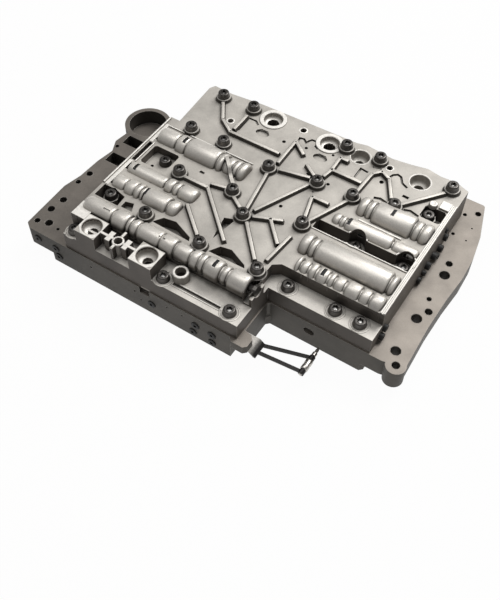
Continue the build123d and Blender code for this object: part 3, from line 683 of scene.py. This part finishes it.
def finish_of(name):
    """The material of that name, made the first time it is asked for."""
    if name in bpy.data.materials:
        return bpy.data.materials[name]
    colours = bpy.context.scene.valve_body_colours
    makers = {
        # Grit-blasted die casting: matt and pale on top, grey in its walls and corners as painted shade
        "blasted_cast_aluminium": lambda: cast_aluminium(name, colours.deck, colours.wall),
        # Cast skin as it left the die: smoother, with soft highlights along the round walls and their flanks
        # darkened as painted shade
        "smooth_cast_aluminium": lambda: cast_aluminium(
            name, colours.bulge, linear("6E6963"), low=0.0, high=0.85, stain=0.9, wear_and_highlight=0.1, metallic=0.6,
            gloss=0.38, crevice_shade=0.3),
        # The same casting left plain: darker, its left end darkened further as painted shade
        "plain_cast_aluminium": lambda: cast_aluminium(
            name, colours.flange, colours.shaded_base_wall, left_shade=0.6),
        # Milled faces and rims: even and nearly white, their upright sides darker as painted shade
        "machined_aluminium": lambda: cast_aluminium(
            name, linear("F2EEE7"), linear("8E8982"), grit=1.6, stain=0.94, crevice_shade=0.95, metallic=0.3),
        # Ribs and screw bosses: pale crests over dark flanks as painted light and shade, edges lightened by
        # wear and a painted highlight
        "worn_and_shaded_cast_aluminium": lambda: cast_aluminium(
            name, linear("D6D1C9"), linear("48443F"), low=0.55, stain=0.85, wear_and_highlight=0.6, crevice_shade=0.3),
        # Chemically blackened screws: dark grey with a dull shine
        "black_oxide_steel": lambda: steel(name, colours.bolt, 0.36),
        # Coated plugs and clips: matt black
        "black_plug_steel": lambda: steel(name, colours.plug, 0.6, metallic=0.0),
        # Cold-rolled plate: mid grey with a satin edge
        "rolled_steel_sheet": lambda: steel(name, linear("8B857D"), 0.35),
        # Ground pins and rollers: bright and sharp
        "ground_steel": lambda: steel(name, linear("C9C5BF"), 0.22),
        # Turned plugs: bright with faint rings
        "turned_steel": lambda: steel(name, linear("9A948D"), 0.3),
        # Blued spring sheet: nearly black, with a bare bright root
        "blued_spring_steel": lambda: steel(
            name, linear("262423"), 0.4, metallic=0.5, root=linear("D2CEC7")),
    }
    return makers[name]()


class VALVEBODY_OT_castings(bpy.types.Operator):
    """Adds the two castings: the upper one without its raised forms, both with their fine drillings"""
    bl_idname = "valvebody.castings"
    bl_label = "Castings"

    def execute(self, context):
        upper = copy_of("valve_housing")
        for boxes in UPPER_CUTS:
            carve(upper, [slab(*box) for box in boxes])
        carve(upper, [drill(*hole) for hole in DECK_DRILLINGS])
        carve(upper, [ribbon(path, width, DECK - depth, DECK + 1) for width, depth, path in GROOVES])
        for x, y in OVALS:
            carve(upper, [oval_cutter(x, y, 0, "Z", DECK - OVAL_DEPTH, DECK + 1, OVAL_WIDE, OVAL_TALL)])
        bay = context.scene.valve_body_sizes.bay / MM
        for x, y in BAYS:
            carve(upper, [turned("bay", [(LEDGE + 2.02, bay), (DECK + 2, bay)], (x, y, 0), "Z", 40)])
        settle(upper, "upper_casting")
        dress(upper, "blasted_cast_aluminium")
        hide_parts("valve_housing")
        lower = copy_of("base_casting")
        carve(lower, [drill(*hole) for hole in FLANGE_DRILLINGS])
        carve(lower, [turned("hole", [(place, radius) for place in FRONT_DRILL], (x, 0, z), "Y", 16)
                      for x, z, radius in FRONT_HOLES])
        carve(lower, [slab(*FRONT_RECESS)])
        x, z, wide, tall, front, rear = NOTCH_PORT
        carve(lower, [oval_cutter(x, 0, z, "Y", front, rear, wide, tall)])
        settle(lower, "lower_casting")
        dress(lower, "plain_cast_aluminium")
        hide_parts("base_casting")
        return {"FINISHED"}


class VALVEBODY_OT_bore_walls(bpy.types.Operator):
    """Adds the half-round bore walls, ring by ring, bored through, with their keeper slots"""
    bl_idname = "valvebody.bore_walls"
    bl_label = "Bore walls"

    def corner(self, place, reach, radius, drop, turns):
        """One rounded end of a ring: a quarter of an ellipse from its foot to its crest, or back."""
        return [(place + reach * (1 - math.cos(math.radians(turn))),
                 radius - drop * (1 - math.sin(math.radians(turn)))) for turn in turns]

    def profile(self, rings, groove, dome, shoulder):
        """Places along X with radii, from the closed end: every ring has round shoulders.

        The two corners of a ring take less than its length, so that they never meet in one point.
        """
        side = 1 if rings[0][1] > rings[0][0] else -1
        mouth_round = 3.0
        quarter = (0, 30, 60, 90)
        points = []
        for index, (start, end, radius) in enumerate(rings):
            length = abs(end - start)
            if index == 0:
                drop, reach = dome, min(length * 0.5, dome)
            else:
                drop = radius - min(radius, rings[index - 1][2]) + groove
                reach = min(length * 0.45, shoulder)
            points += self.corner(start, side * reach, radius, drop, quarter)
            if index + 1 == len(rings):
                drop, reach = mouth_round, min(length * 0.45, mouth_round)
            else:
                drop = radius - min(radius, rings[index + 1][2]) + groove
                reach = min(length * 0.45, shoulder)
            points += self.corner(end, -side * reach, radius, drop, reversed(quarter))
        return points

    def cutters(self, name, y, bay):
        """The shapes cut out of one wall: keeper slot, cast notches and bolt bays."""
        play = Vector((0.2, 0.2, 0))
        over = Vector((0, 0, 9))
        shapes = []
        for low, high in islands("keeper_plates"):
            if abs((low + high).y / 2 / MM - y) < 1:
                shapes.append(slab(low / MM - play, high / MM + play + over))
        if name == "manual":
            shapes += [slab(*notch) for notch in CREST_NOTCHES]
        if name == "lockup":
            shapes += [turned("bay", [(DECK - 2, bay), (DECK + 13, bay)], (x, place, 0), "Z", 40)
                       for x, place in BAYS]
        return shapes

    def keeper_edges(self):
        """The black edges of the keeper plates, just under the surface of the walls."""
        sunk = 0.4
        edges = []
        for low, high in islands("keeper_plates"):
            low, high = low / MM, high / MM
            middle = (low + high) / 2
            rings = next(rings for y, _, _, rings in BORE_WALLS.values() if abs(y - middle.y) < 1)
            radius = next((r for a, b, r in rings if min(a, b) <= middle.x <= max(a, b)), rings[0][2])
            half = (high - low).y / 2
            top = AXIS + math.sqrt(max(radius ** 2 - half ** 2, 1.0)) - sunk
            if top > high.z + 0.3:
                edges.append(slab((low.x + 0.05, low.y + 0.05, high.z - 0.5),
                                  (high.x - 0.05, high.y - 0.05, top)))
        return edges

    def execute(self, context):
        sizes = context.scene.valve_body_sizes
        dress(join(self.keeper_edges(), "keeper_edges"), "black_plug_steel")
        for name, (y, bore, mouth, rings) in BORE_WALLS.items():
            outline = self.profile(rings, sizes.groove / MM, sizes.dome / MM, sizes.shoulder / MM)
            wall = turned(name + "_wall", outline, (0, y, AXIS), "X", WALL_FACETS)
            if name != "manual":
                edit_all(wall)
                bpy.ops.mesh.bisect(
                    plane_co=(0, 0, (DECK - 0.5) * MM), plane_no=(0, 0, 1), clear_inner=True, use_fill=True)
                bpy.ops.object.mode_set(mode="OBJECT")
            room = [(blind_end(rings, mouth), bore), (mouth, bore)]
            carve(wall, [turned("bore_cutter", room, (0, y, AXIS), "X", 40)], "MANIFOLD")
            for shape in self.cutters(name, y, sizes.bay / MM):
                carve(wall, [shape], "MANIFOLD")
            if name == "manual":
                footing = slab((-124.5, y - 6.5, LEDGE - 0.3), (47, y, LEDGE + 3.6))
                wall = join([wall, footing], wall.name)
            smooth(wall, 38)
            dress(wall, "smooth_cast_aluminium")
        return {"FINISHED"}


class VALVEBODY_OT_ribs(bpy.types.Operator):
    """Adds the deck's ribs, drafted and rounded, the one that climbs a bore wall, and the low rims"""
    bl_idname = "valvebody.ribs"
    bl_label = "Ribs and rims"

    def rib(self, start, end):
        """One straight rib: a strip extruded up and narrowed step by step, long enough to meet the next."""
        overlap = 1.7
        length = math.dist(start, end) + 2 * overlap
        height, width = RIB_SECTION[0]
        deselect()
        bpy.ops.mesh.primitive_plane_add(size=1)
        piece = bpy.context.object
        piece.scale = (length * MM, width * MM, 1)
        bpy.ops.object.transform_apply(location=True, rotation=True, scale=True)
        edit_all(piece)
        for level, wide in RIB_SECTION[1:]:
            bpy.ops.mesh.extrude_region_move(
                TRANSFORM_OT_translate={"value": (0, 0, (level - height) * MM)})
            shorter = length - (width - wide)
            bpy.ops.transform.resize(
                value=(shorter / length, wide / width, 1), center_override=(0, 0, 0))
            height, width, length = level, wide, shorter
        bpy.ops.mesh.select_all(action="SELECT")
        bpy.ops.mesh.normals_make_consistent(inside=False)
        bpy.ops.object.mode_set(mode="OBJECT")
        middle = [(a + b) / 2 for a, b in zip(start, end)]
        piece.rotation_euler.z = math.atan2(end[1] - start[1], end[0] - start[0])
        piece.location = (middle[0] * MM, middle[1] * MM, (DECK + RIB_SECTION[0][0]) * MM)
        return settle(piece, "rib")

    def climbing_rib(self):
        """The rib that runs up and over the regulator's wall, like a low bridge."""
        climb, crest, half_span = 7.2, 19.5, 10.5
        bar = slab((-2, -1.7, DECK - 0.5), (43, 1.7, DECK + 3.0))
        edit_all(bar)
        bpy.ops.mesh.subdivide(number_cuts=17)
        bpy.ops.object.mode_set(mode="OBJECT")
        for vertex in bar.data.vertices:
            if vertex.co.z > (DECK + 0.5) * MM:
                rise = climb * math.exp(-((vertex.co.x / MM - crest) / half_span) ** 4)
                vertex.co.z += rise * MM
        bar.rotation_euler.z = math.radians(-45)
        bar.location = (-57 * MM, 22.5 * MM, 0)
        settle(bar, "climbing_rib")
        return clear_bores(modify(bar, "BEVEL", width=0.7 * MM, segments=2, limit_method="ANGLE"))

    def rims(self, bay):
        """The low lines of the deck and ledges, and the raised rings of the bolt bays."""
        rims = [slab((*a, DECK - 0.4), (*b, DECK + rise), bevel=0.45) for a, b, rise in RIMS]
        section = [(DECK - 0.3, bay + 1.6), (DECK + 0.9, bay + 1.3), (DECK + 0.9, bay + 0.2),
                   (DECK - 0.3, bay + 0.02)]
        for x, y in BAYS:
            ring = turned("bay_rim", section, (x, y, 0), "Z", 40, hollow=True)
            rims.append(clear_bores(carve(ring, [slab((57, -10.6, DECK - 2), (152, 0.4, DECK + 4))])))
        rims += [slab((*a, LEDGE - 0.3), (*b, LEDGE + rise), bevel=0.25) for a, b, rise in LEDGE_RIMS]
        return rims

    def caps(self):
        """The machined faces, with their cups and cut corners."""
        caps = [slab((*a, DECK - 0.2), (*b, DECK + rise)) for a, b, rise in CAPS]
        for index, (x, y, radius, corners) in CAP_CUPS.items():
            carve(caps[index], [turned("cup", [(DECK - 2, radius), (DECK + 2, radius)], (x, y, 0), "Z", 48)])
            for corner_x, corner_y, size in corners:
                cut = slab((-size, -size, DECK - 1), (size, size, DECK + 1))
                cut.rotation_euler.z = math.radians(45)
                cut.scale = (math.sqrt(0.5), math.sqrt(0.5), 1)
                cut.location = (corner_x * MM, corner_y * MM, 0)
                carve(caps[index], [settle(cut, "cut")])
        return caps

    def execute(self, context):
        bars = []
        for path in RIBS:
            bars += [self.rib(start, end) for start, end in zip(path, path[1:])]
        bars.append(self.climbing_rib())
        ribs = smooth(join(bars, "deck_ribs"), 30)
        dress(ribs, "worn_and_shaded_cast_aluminium")
        rims = join(self.rims(context.scene.valve_body_sizes.bay / MM), "deck_rims")
        dress(rims, "machined_aluminium")
        dress(join(self.caps(), "pad_faces"), "machined_aluminium")
        ends = join([slab((*a, LEDGE + 1), (*b, DECK + 0.2)) for a, b in END_WALLS], "end_walls")
        dress(ends, "blasted_cast_aluminium")
        return {"FINISHED"}


class VALVEBODY_OT_bosses(bpy.types.Operator):
    """Adds the round bosses under the screws and the lined round ports of the deck and flanges"""
    bl_idname = "valvebody.bosses"
    bl_label = "Bosses and ports"

    def port(self, x, y, ring, rise, pocket, depth, hole):
        """A round boss with a lined pocket; the dark hole goes on through its floor."""
        top = DECK + rise
        lip = top - 1.6
        bowl = []
        for step in range(6):
            turn = math.radians(18 * step)
            bowl.append((lip - (lip - DECK + depth) * math.sin(turn),
                         hole + (pocket - hole) * math.cos(turn)))
        return turned("port", [
            (DECK - 0.3, ring + 0.5), (DECK, ring + 0.35), (top - 0.25, ring), (top, ring - 0.3),
            (top, pocket + 0.7), (top - 0.5, pocket + 0.1), *bowl, (DECK - depth - 0.5, hole),
            (DECK - depth - 6, hole), (DECK - depth - 6, hole + 0.5), (DECK - depth - 0.8, pocket + 0.4),
            (DECK - 0.4, pocket + 0.9)], (x, y, 0), "Z", 56, hollow=True)

    def bosses(self):
        """The collars under the deck's screws, and flat rings under those of the ledges and bays."""
        collar = turned("collar", [
            (DECK - 0.3, 8.9), (DECK + 0.1, 8.3), (DECK + 0.7, 7.75), (DECK + 1.6, 7.5), (BOSS - 0.35, 7.35),
            (BOSS + 0.02, 7.0), (BOSS + 0.02, 3.4), (DECK - 0.3, 3.4)], facets=40, hollow=True)
        bosses = [clear_bores(placed(collar, x, y)) for x, y, _ in places("deck_bolts")]
        bpy.data.objects.remove(collar)
        ring = turned("ring", [
            (LEDGE - 0.2, 9.3), (LEDGE + 0.12, 9.1), (LEDGE + 0.3, 8.8), (LEDGE + 0.3, 7.9),
            (LEDGE + 0.04, 7.6), (LEDGE + 0.04, 3.4), (LEDGE - 0.2, 3.4)], facets=40, hollow=True)
        bosses += [placed(ring, x, y) for x, y, _ in places("ledge_bolts")]
        bay_floor = 2.0
        bosses += [placed(ring, x, y, bay_floor) for x, y in BAYS]
        bpy.data.objects.remove(ring)
        return bosses

    def small_port(self, x, y, radius, level, depth):
        """A fine hole with a raised ring round it."""
        return turned("small_port", [
            (level - 0.2, radius + 1.7), (level + 0.1, radius + 1.5), (level + 0.25, radius + 1.1),
            (level + 0.25, radius + 0.4), (level - 0.2, radius), (level - depth, radius),
            (level - depth, radius + 0.5)], (x, y, 0), "Z", 28, hollow=True)

    def tube(self, x, y, outer, inner, top):
        """A short tube that stands on a ledge."""
        return turned("tube", [
            (LEDGE - 0.2, outer + 0.5), (LEDGE + 0.4, outer + 0.1), (top - 0.7, outer),
            (top - 0.1, outer - 0.5), (top, outer - 0.8), (top, inner + 0.3), (top - 0.3, inner),
            (LEDGE + 2, inner)], (x, y, 0), "Z", 36, hollow=True)

    def flange_port(self, x, y, radius):
        """The lining and ring of a round hole through the flanges, inside the hole's flat facets."""
        facets, foot = 8, 10.05
        inner = radius * math.cos(math.pi / facets) - 0.05
        return turned("flange_port", [
            (FLANGE - 0.3, radius + 0.6), (FLANGE + 0.03, radius + 0.5), (FLANGE + 0.03, inner + 0.35),
            (FLANGE - 0.4, inner), (foot, inner), (foot, radius + 0.3)], (x, y, 0), "Z", 40, hollow=True)

    def execute(self, context):
        seats = smooth(join(self.bosses(), "screw_bosses"), 35)
        dress(seats, "worn_and_shaded_cast_aluminium")
        ports = [self.port(*port) for port in PORTS]
        ports += [self.small_port(*port) for port in SMALL_PORTS]
        ports += [self.tube(*tube) for tube in TUBES]
        ports.append(slab(*CUP_BAR, bevel=0.3))
        ports.append(turned("knob", [
            (DECK - 0.3, 4.4), (DECK + 0.6, 4.2), (DECK + 2.6, 4.0), (DECK + 3.4, 3.4), (DECK + 3.6, 2.4),
            (DECK + 3.2, 1.6), (DECK + 3.0, 0.4)], (*KNOB, 0), "Z", 32))
        dress(smooth(join(ports, "deck_ports"), 35), "machined_aluminium")
        flange_ports = smooth(join([self.flange_port(*hole) for hole in FLANGE_HOLES], "flange_ports"), 35)
        dress(flange_ports, "plain_cast_aluminium")
        return {"FINISHED"}


class VALVEBODY_OT_bolts(bpy.types.Operator):
    """Adds the cover bolts: washer face, round head and six-lobed recess"""
    bl_idname = "valvebody.bolts"
    bl_label = "Cover bolts"

    recess: bpy.props.FloatProperty(
        name="Recess depth", description="Depth of the driver recess", unit="LENGTH", default=2.6 * MM)

    def model(self, washer):
        """One bolt that stands on the origin, with a round head and a recess of six lobes."""
        head = turned("bolt", [
            (-30, 2.4), (-29.4, 3.0), (0, 3.0), (0.01, 5.8), (0.25, 6.1), (washer - 0.3, 6.1), (washer, 5.9),
            (washer + 0.6, 5.6), (washer + 0.9, 5.5), (4.4, 5.4), (5.0, 5.1), (5.35, 4.6),
            (BOLT_HEIGHT, 3.9), (BOLT_HEIGHT - 0.1, 2.9)], facets=24)
        crown = (BOLT_HEIGHT - 0.2) * MM
        # The 24 points of the recess's edge are drawn in between the lobes, four to a lobe
        lobe = (1.0, 0.88, 0.78, 0.88)
        for vertex in head.data.vertices:
            if vertex.co.z > crown and vertex.co.xy.length < 3.0 * MM:
                share = lobe[round(math.degrees(math.atan2(vertex.co.y, vertex.co.x)) / 15) % 4]
                vertex.co.x *= share
                vertex.co.y *= share
        select_faces(head, lambda c, n: n.z > 0.9 and c.z > crown and c.xy.length < 0.5 * MM)
        bpy.ops.mesh.extrude_region_move(TRANSFORM_OT_translate={"value": (0, 0, -self.recess)})
        bpy.ops.mesh.select_all(action="SELECT")
        bpy.ops.mesh.normals_make_consistent(inside=False)
        bpy.ops.object.mode_set(mode="OBJECT")
        return smooth(head, 40)

    def execute(self, context):
        model = self.model(context.scene.valve_body_sizes.washer / MM)
        foot = BOLT_HEIGHT - 0.1 - self.recess / MM
        # The recess floors are lighter steel: bare worn metal, and a painted highlight in the recess
        floor = smooth(turned("floor", [
            (foot - 0.3, 2.6), (foot + 0.05, 2.2), (foot + 0.5, 1.5), (foot + 0.6, 0.8)], facets=16))
        wear_and_highlight = []
        for group in ("deck_bolts", "ledge_bolts", "well_bolts"):
            copies = []
            for index, (x, y, top) in enumerate(places(group)):
                seat = top - BOLT_HEIGHT
                copies.append(placed(model, x, y, seat, math.radians(23 * index)))
                wear_and_highlight.append(placed(floor, x, y, seat))
            screws = join(copies, group + "_turned")
            dress(screws, "black_oxide_steel")
            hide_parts(group)
        bpy.data.objects.remove(model)
        bpy.data.objects.remove(floor)
        dress(join(wear_and_highlight, "driver_recess_floors"), "turned_steel")
        return {"FINISHED"}


class VALVEBODY_OT_gallery_plugs(bpy.types.Operator):
    """Adds the black plugs that close the galleries in the front and right walls"""
    bl_idname = "valvebody.gallery_plugs"
    bl_label = "Gallery plugs"

    socket: bpy.props.FloatProperty(
        name="Socket", description="Width of the plugs' square sockets", unit="LENGTH", default=2.6 * MM)

    def plug(self, centre, axis, inner, outer, radius):
        """One round plug with a rounded head and a square socket, along X or Y."""
        way = math.copysign(1, outer - inner)
        profile = [(inner, radius - 0.4), (outer - way * 0.6, radius), (outer - way * 0.2, radius - 0.15),
                   (outer, radius - 0.5)]
        piece = turned("plug", profile, centre, axis, 24)
        index = "XYZ".index(axis)
        middle = Vector(centre)
        middle[index] = outer
        reach = Vector([self.socket / MM / 2] * 3)
        reach[index] = 1.6
        return smooth(carve(piece, [slab(middle - reach, middle + reach)]), 35)

    def execute(self, context):
        fronts = join([self.plug((x, 0, z), "Y", *FRONT_PLUG_REACH, radius) for x, z, radius in FRONT_PLUGS],
                      "front_plugs_turned")
        dress(fronts, "black_plug_steel")
        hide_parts("front_plugs")
        sides = join([self.plug((0, y, z), "X", SIDE_PLUG_FOOT, RIGHT_WALL + proud, radius)
                      for y, z, radius, proud in SIDE_PLUGS], "side_plugs_turned")
        dress(sides, "black_plug_steel")
        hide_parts("side_plugs")
        return {"FINISHED"}


class VALVEBODY_OT_end_plugs(bpy.types.Operator):
    """Adds the turned end plugs of the bores, with a seal groove and an extraction hole"""
    bl_idname = "valvebody.end_plugs"
    bl_label = "End plugs"

    def execute(self, context):
        keepers = [(low / MM, high / MM) for low, high in islands("keeper_plates")]
        plugs = []
        for low, high in islands("end_plugs"):
            middle = (low + high) / 2 / MM
            radius = (high - low).y / 2 / MM
            side = 1 if middle.x > 0 else -1
            inner = (low.x if side > 0 else high.x) / MM
            outer = END_PLUG_FACES[side > 0]
            plug = turned("plug", [
                (inner, radius - 0.8), (inner + side * 0.6, radius), (outer - side * 7, radius),
                (outer - side * 6.6, radius - 1.2), (outer - side * 4.6, radius - 1.2),
                (outer - side * 4.2, radius), (outer - side * 0.6, radius), (outer, radius - 0.8),
                (outer, 1.6), (outer - side * 5, 1.5)], (0, middle.y, AXIS), "X", 40)
            for first, last in keepers:
                inside = min(inner, outer) < first.x < max(inner, outer)
                if inside and abs((first + last).y / 2 - middle.y) < 1:
                    plug = carve(plug, [slab((first.x - 0.2, middle.y - 12, AXIS - 0.2),
                                             (last.x + 0.2, middle.y + 12, AXIS + 14))])
            plugs.append(plug)
        turned_plugs = smooth(join(plugs, "end_plugs_turned"), 35)
        dress(turned_plugs, "turned_steel")
        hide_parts("end_plugs")
        return {"FINISHED"}


class VALVEBODY_OT_detent(bpy.types.Operator):
    """Adds the turned roller and pin of the detent"""
    bl_idname = "valvebody.detent"
    bl_label = "Detent pin and roller"

    def execute(self, context):
        low, high = (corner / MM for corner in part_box("detent_roller"))
        middle = (low + high) / 2
        centre = (middle.x, 0, middle.z)
        roller = turned("detent_roller_turned", [
            (low.y, 2.6), (low.y + 0.4, 3.2), (low.y + 0.9, 3.4), (middle.y - 1.2, 3.4),
            (middle.y - 1.0, 3.1), (middle.y + 1.0, 3.1), (middle.y + 1.2, 3.4), (high.y - 0.9, 3.4),
            (high.y - 0.4, 3.2), (high.y, 2.6)], centre, "Y", 36)
        hole = turned("roller_bore", [(low.y - 1, 1.56), (high.y + 1, 1.56)], centre, "Y", 24)
        smooth(carve(roller, [hole]), 35)
        dress(roller, "ground_steel", "roller")
        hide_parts("detent_roller")
        front, rear = (corner.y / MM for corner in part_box("detent_pin"))
        collar = rear - 10.0
        pin = turned("detent_pin_turned", [
            (front, 1.1), (front + 0.4, 1.5), (collar, 1.5), (collar + 0.02, 1.9), (collar + 0.3, 2.2),
            (collar + 3.7, 2.2), (collar + 4.0, 1.9), (collar + 4.02, 1.5), (rear - 2.4, 1.45),
            (rear - 0.6, 0.9), (rear, 0.5)], centre, "Y", 32)
        smooth(pin, 35)
        dress(pin, "ground_steel", "detent")
        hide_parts("detent_pin")
        return {"FINISHED"}


class VALVEBODY_OT_node_finishes(bpy.types.Operator):
    """Gives the pieces that keep their own shape their materials"""
    bl_idname = "valvebody.node_finishes"
    bl_label = "Finishes of plain pieces"

    def execute(self, context):
        finishes = {
            "deck_aluminium": "blasted_cast_aluminium", "base_aluminium": "plain_cast_aluminium",
            "plate_steel": "rolled_steel_sheet", "bolt_steel": "black_oxide_steel",
            "turned_steel": "turned_steel", "bright_steel": "ground_steel",
            "leaf_steel": "blued_spring_steel", "black_plug": "black_plug_steel",
        }
        for part in frame["record"]["subparts"]:
            node = nodes[part["node"]]
            node.data.materials.clear()
            finish = finishes[part["material_slot"]]
            if part["node"] == "keeper_plates":
                finish = "black_plug_steel"
            # The manual valve is darkened to black oxide steel as painted shade: its bright steel end lies in
            # shadow at the bore's mouth
            if part["node"] == "manual_valve":
                finish = "black_oxide_steel"
            node.data.materials.append(finish_of(finish))
        return {"FINISHED"}


class VALVEBODY_OT_stage(bpy.types.Operator):
    """Adds the floor, the lamps and the camera at the photograph's angle"""
    bl_idname = "valvebody.stage"
    bl_label = "Floor, light and camera"

    def lamp(self, name, place, size, power):
        """A square soft light that faces the middle of the object: place in metres, power in watts."""
        bpy.ops.object.light_add(type="AREA", location=place)
        lamp = bpy.context.object
        lamp.name = name
        lamp.data.size = size
        lamp.data.energy = power
        lamp.rotation_euler = (-Vector(place)).to_track_quat("-Z", "Y").to_euler()

    def execute(self, context):
        deselect()
        # A little under the case face, so that the two never share a plane
        bpy.ops.mesh.primitive_plane_add(size=8, location=(0, 0, -0.3 * MM))
        floor = settle(bpy.context.object, "floor")
        material, tree, shader = new_material("pale_floor")
        shader.inputs["Base Color"].default_value = rgba(linear("A5A3A0"))
        shader.inputs["Roughness"].default_value = 0.9
        # The floor is seen nearly white, but lights the object as pale grey paper does
        path = add_node(tree, "ShaderNodeLightPath")
        glow = add_node(tree, "ShaderNodeEmission", {"Color": rgba(linear("FFFFFF")), "Strength": 1.03})
        seen = add_node(tree, "ShaderNodeMath", {
            0: path.outputs["Is Camera Ray"], 1: path.outputs["Is Glossy Ray"]}, operation="MAXIMUM")
        clear = add_node(tree, "ShaderNodeMath", {
            0: seen.outputs["Value"], 1: path.outputs["Is Transmission Ray"]}, operation="MAXIMUM")
        share = add_node(tree, "ShaderNodeMath", {0: clear.outputs["Value"], 1: 0.94},
                         operation="MULTIPLY")
        mix = add_node(tree, "ShaderNodeMixShader", {
            0: share.outputs["Value"], 1: shader.outputs["BSDF"], 2: glow.outputs["Emission"]})
        output = [n for n in tree.nodes if n.type == "OUTPUT_MATERIAL"][0]
        # From below the floor is clear, so that the case face can be looked at
        side = add_node(tree, "ShaderNodeNewGeometry")
        nothing = add_node(tree, "ShaderNodeBsdfTransparent")
        one_sided = add_node(tree, "ShaderNodeMixShader", {
            0: side.outputs["Backfacing"], 1: mix.outputs["Shader"], 2: nothing.outputs["BSDF"]})
        tree.links.new(one_sided.outputs["Shader"], output.inputs["Surface"])
        floor.data.materials.append(material)
        self.lamp("key", (0.6, 1.45, 1.85), 1.4, 46)
        self.lamp("overhead", (-0.5, 0.1, 2.4), 1.0, 12)
        world = bpy.data.worlds.new("studio")
        context.scene.world = world
        world.use_nodes = True
        world.node_tree.nodes["Background"].inputs["Color"].default_value = rgba(linear("FFFFFF"))
        world.node_tree.nodes["Background"].inputs["Strength"].default_value = 0.27
        # Place, heading, roll and lens were solved from the photograph's straight edges
        bpy.ops.object.camera_add(location=(0.269, -0.446, 0.602))
        camera = bpy.context.object
        camera.name = "photo_camera"
        camera.data.sensor_width = 36
        camera.data.lens = 49.64
        camera.data.clip_end = 20
        heading = Vector((-0.317, 0.504, -0.803)).to_track_quat("-Z", "Y")
        camera.rotation_euler = heading.to_euler()
        camera.rotation_euler.rotate_axis("Z", math.radians(0.84))
        context.scene.camera = camera
        context.scene.view_settings.view_transform = "Standard"
        return {"FINISHED"}


OPERATORS = (
    VALVEBODY_OT_castings,
    VALVEBODY_OT_bore_walls,
    VALVEBODY_OT_ribs,
    VALVEBODY_OT_bosses,
    VALVEBODY_OT_bolts,
    VALVEBODY_OT_gallery_plugs,
    VALVEBODY_OT_end_plugs,
    VALVEBODY_OT_detent,
    VALVEBODY_OT_node_finishes,
    VALVEBODY_OT_stage,
)


class VALVEBODY_PT_pieces(bpy.types.Panel):
    """Lists the pieces"""
    bl_idname = "VALVEBODY_PT_pieces"
    bl_label = "Valve Body"
    bl_space_type = "VIEW_3D"
    bl_region_type = "UI"
    bl_category = "Valve Body"

    def draw(self, context):
        for operator in OPERATORS:
            self.layout.operator(operator.bl_idname)


CLASSES = (ValveBodyColours, ValveBodySizes) + OPERATORS + (VALVEBODY_PT_pieces,)


def register():
    for kind in CLASSES:
        bpy.utils.register_class(kind)
    bpy.types.Scene.valve_body_colours = bpy.props.PointerProperty(type=ValveBodyColours)
    bpy.types.Scene.valve_body_sizes = bpy.props.PointerProperty(type=ValveBodySizes)


def unregister():
    del bpy.types.Scene.valve_body_sizes
    del bpy.types.Scene.valve_body_colours
    for kind in reversed(CLASSES):
        bpy.utils.unregister_class(kind)


def main():
    register()
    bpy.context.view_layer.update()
    for operator in OPERATORS:
        group, name = operator.bl_idname.split(".")
        getattr(getattr(bpy.ops, group), name)()


if __name__ == "__main__":
    main()
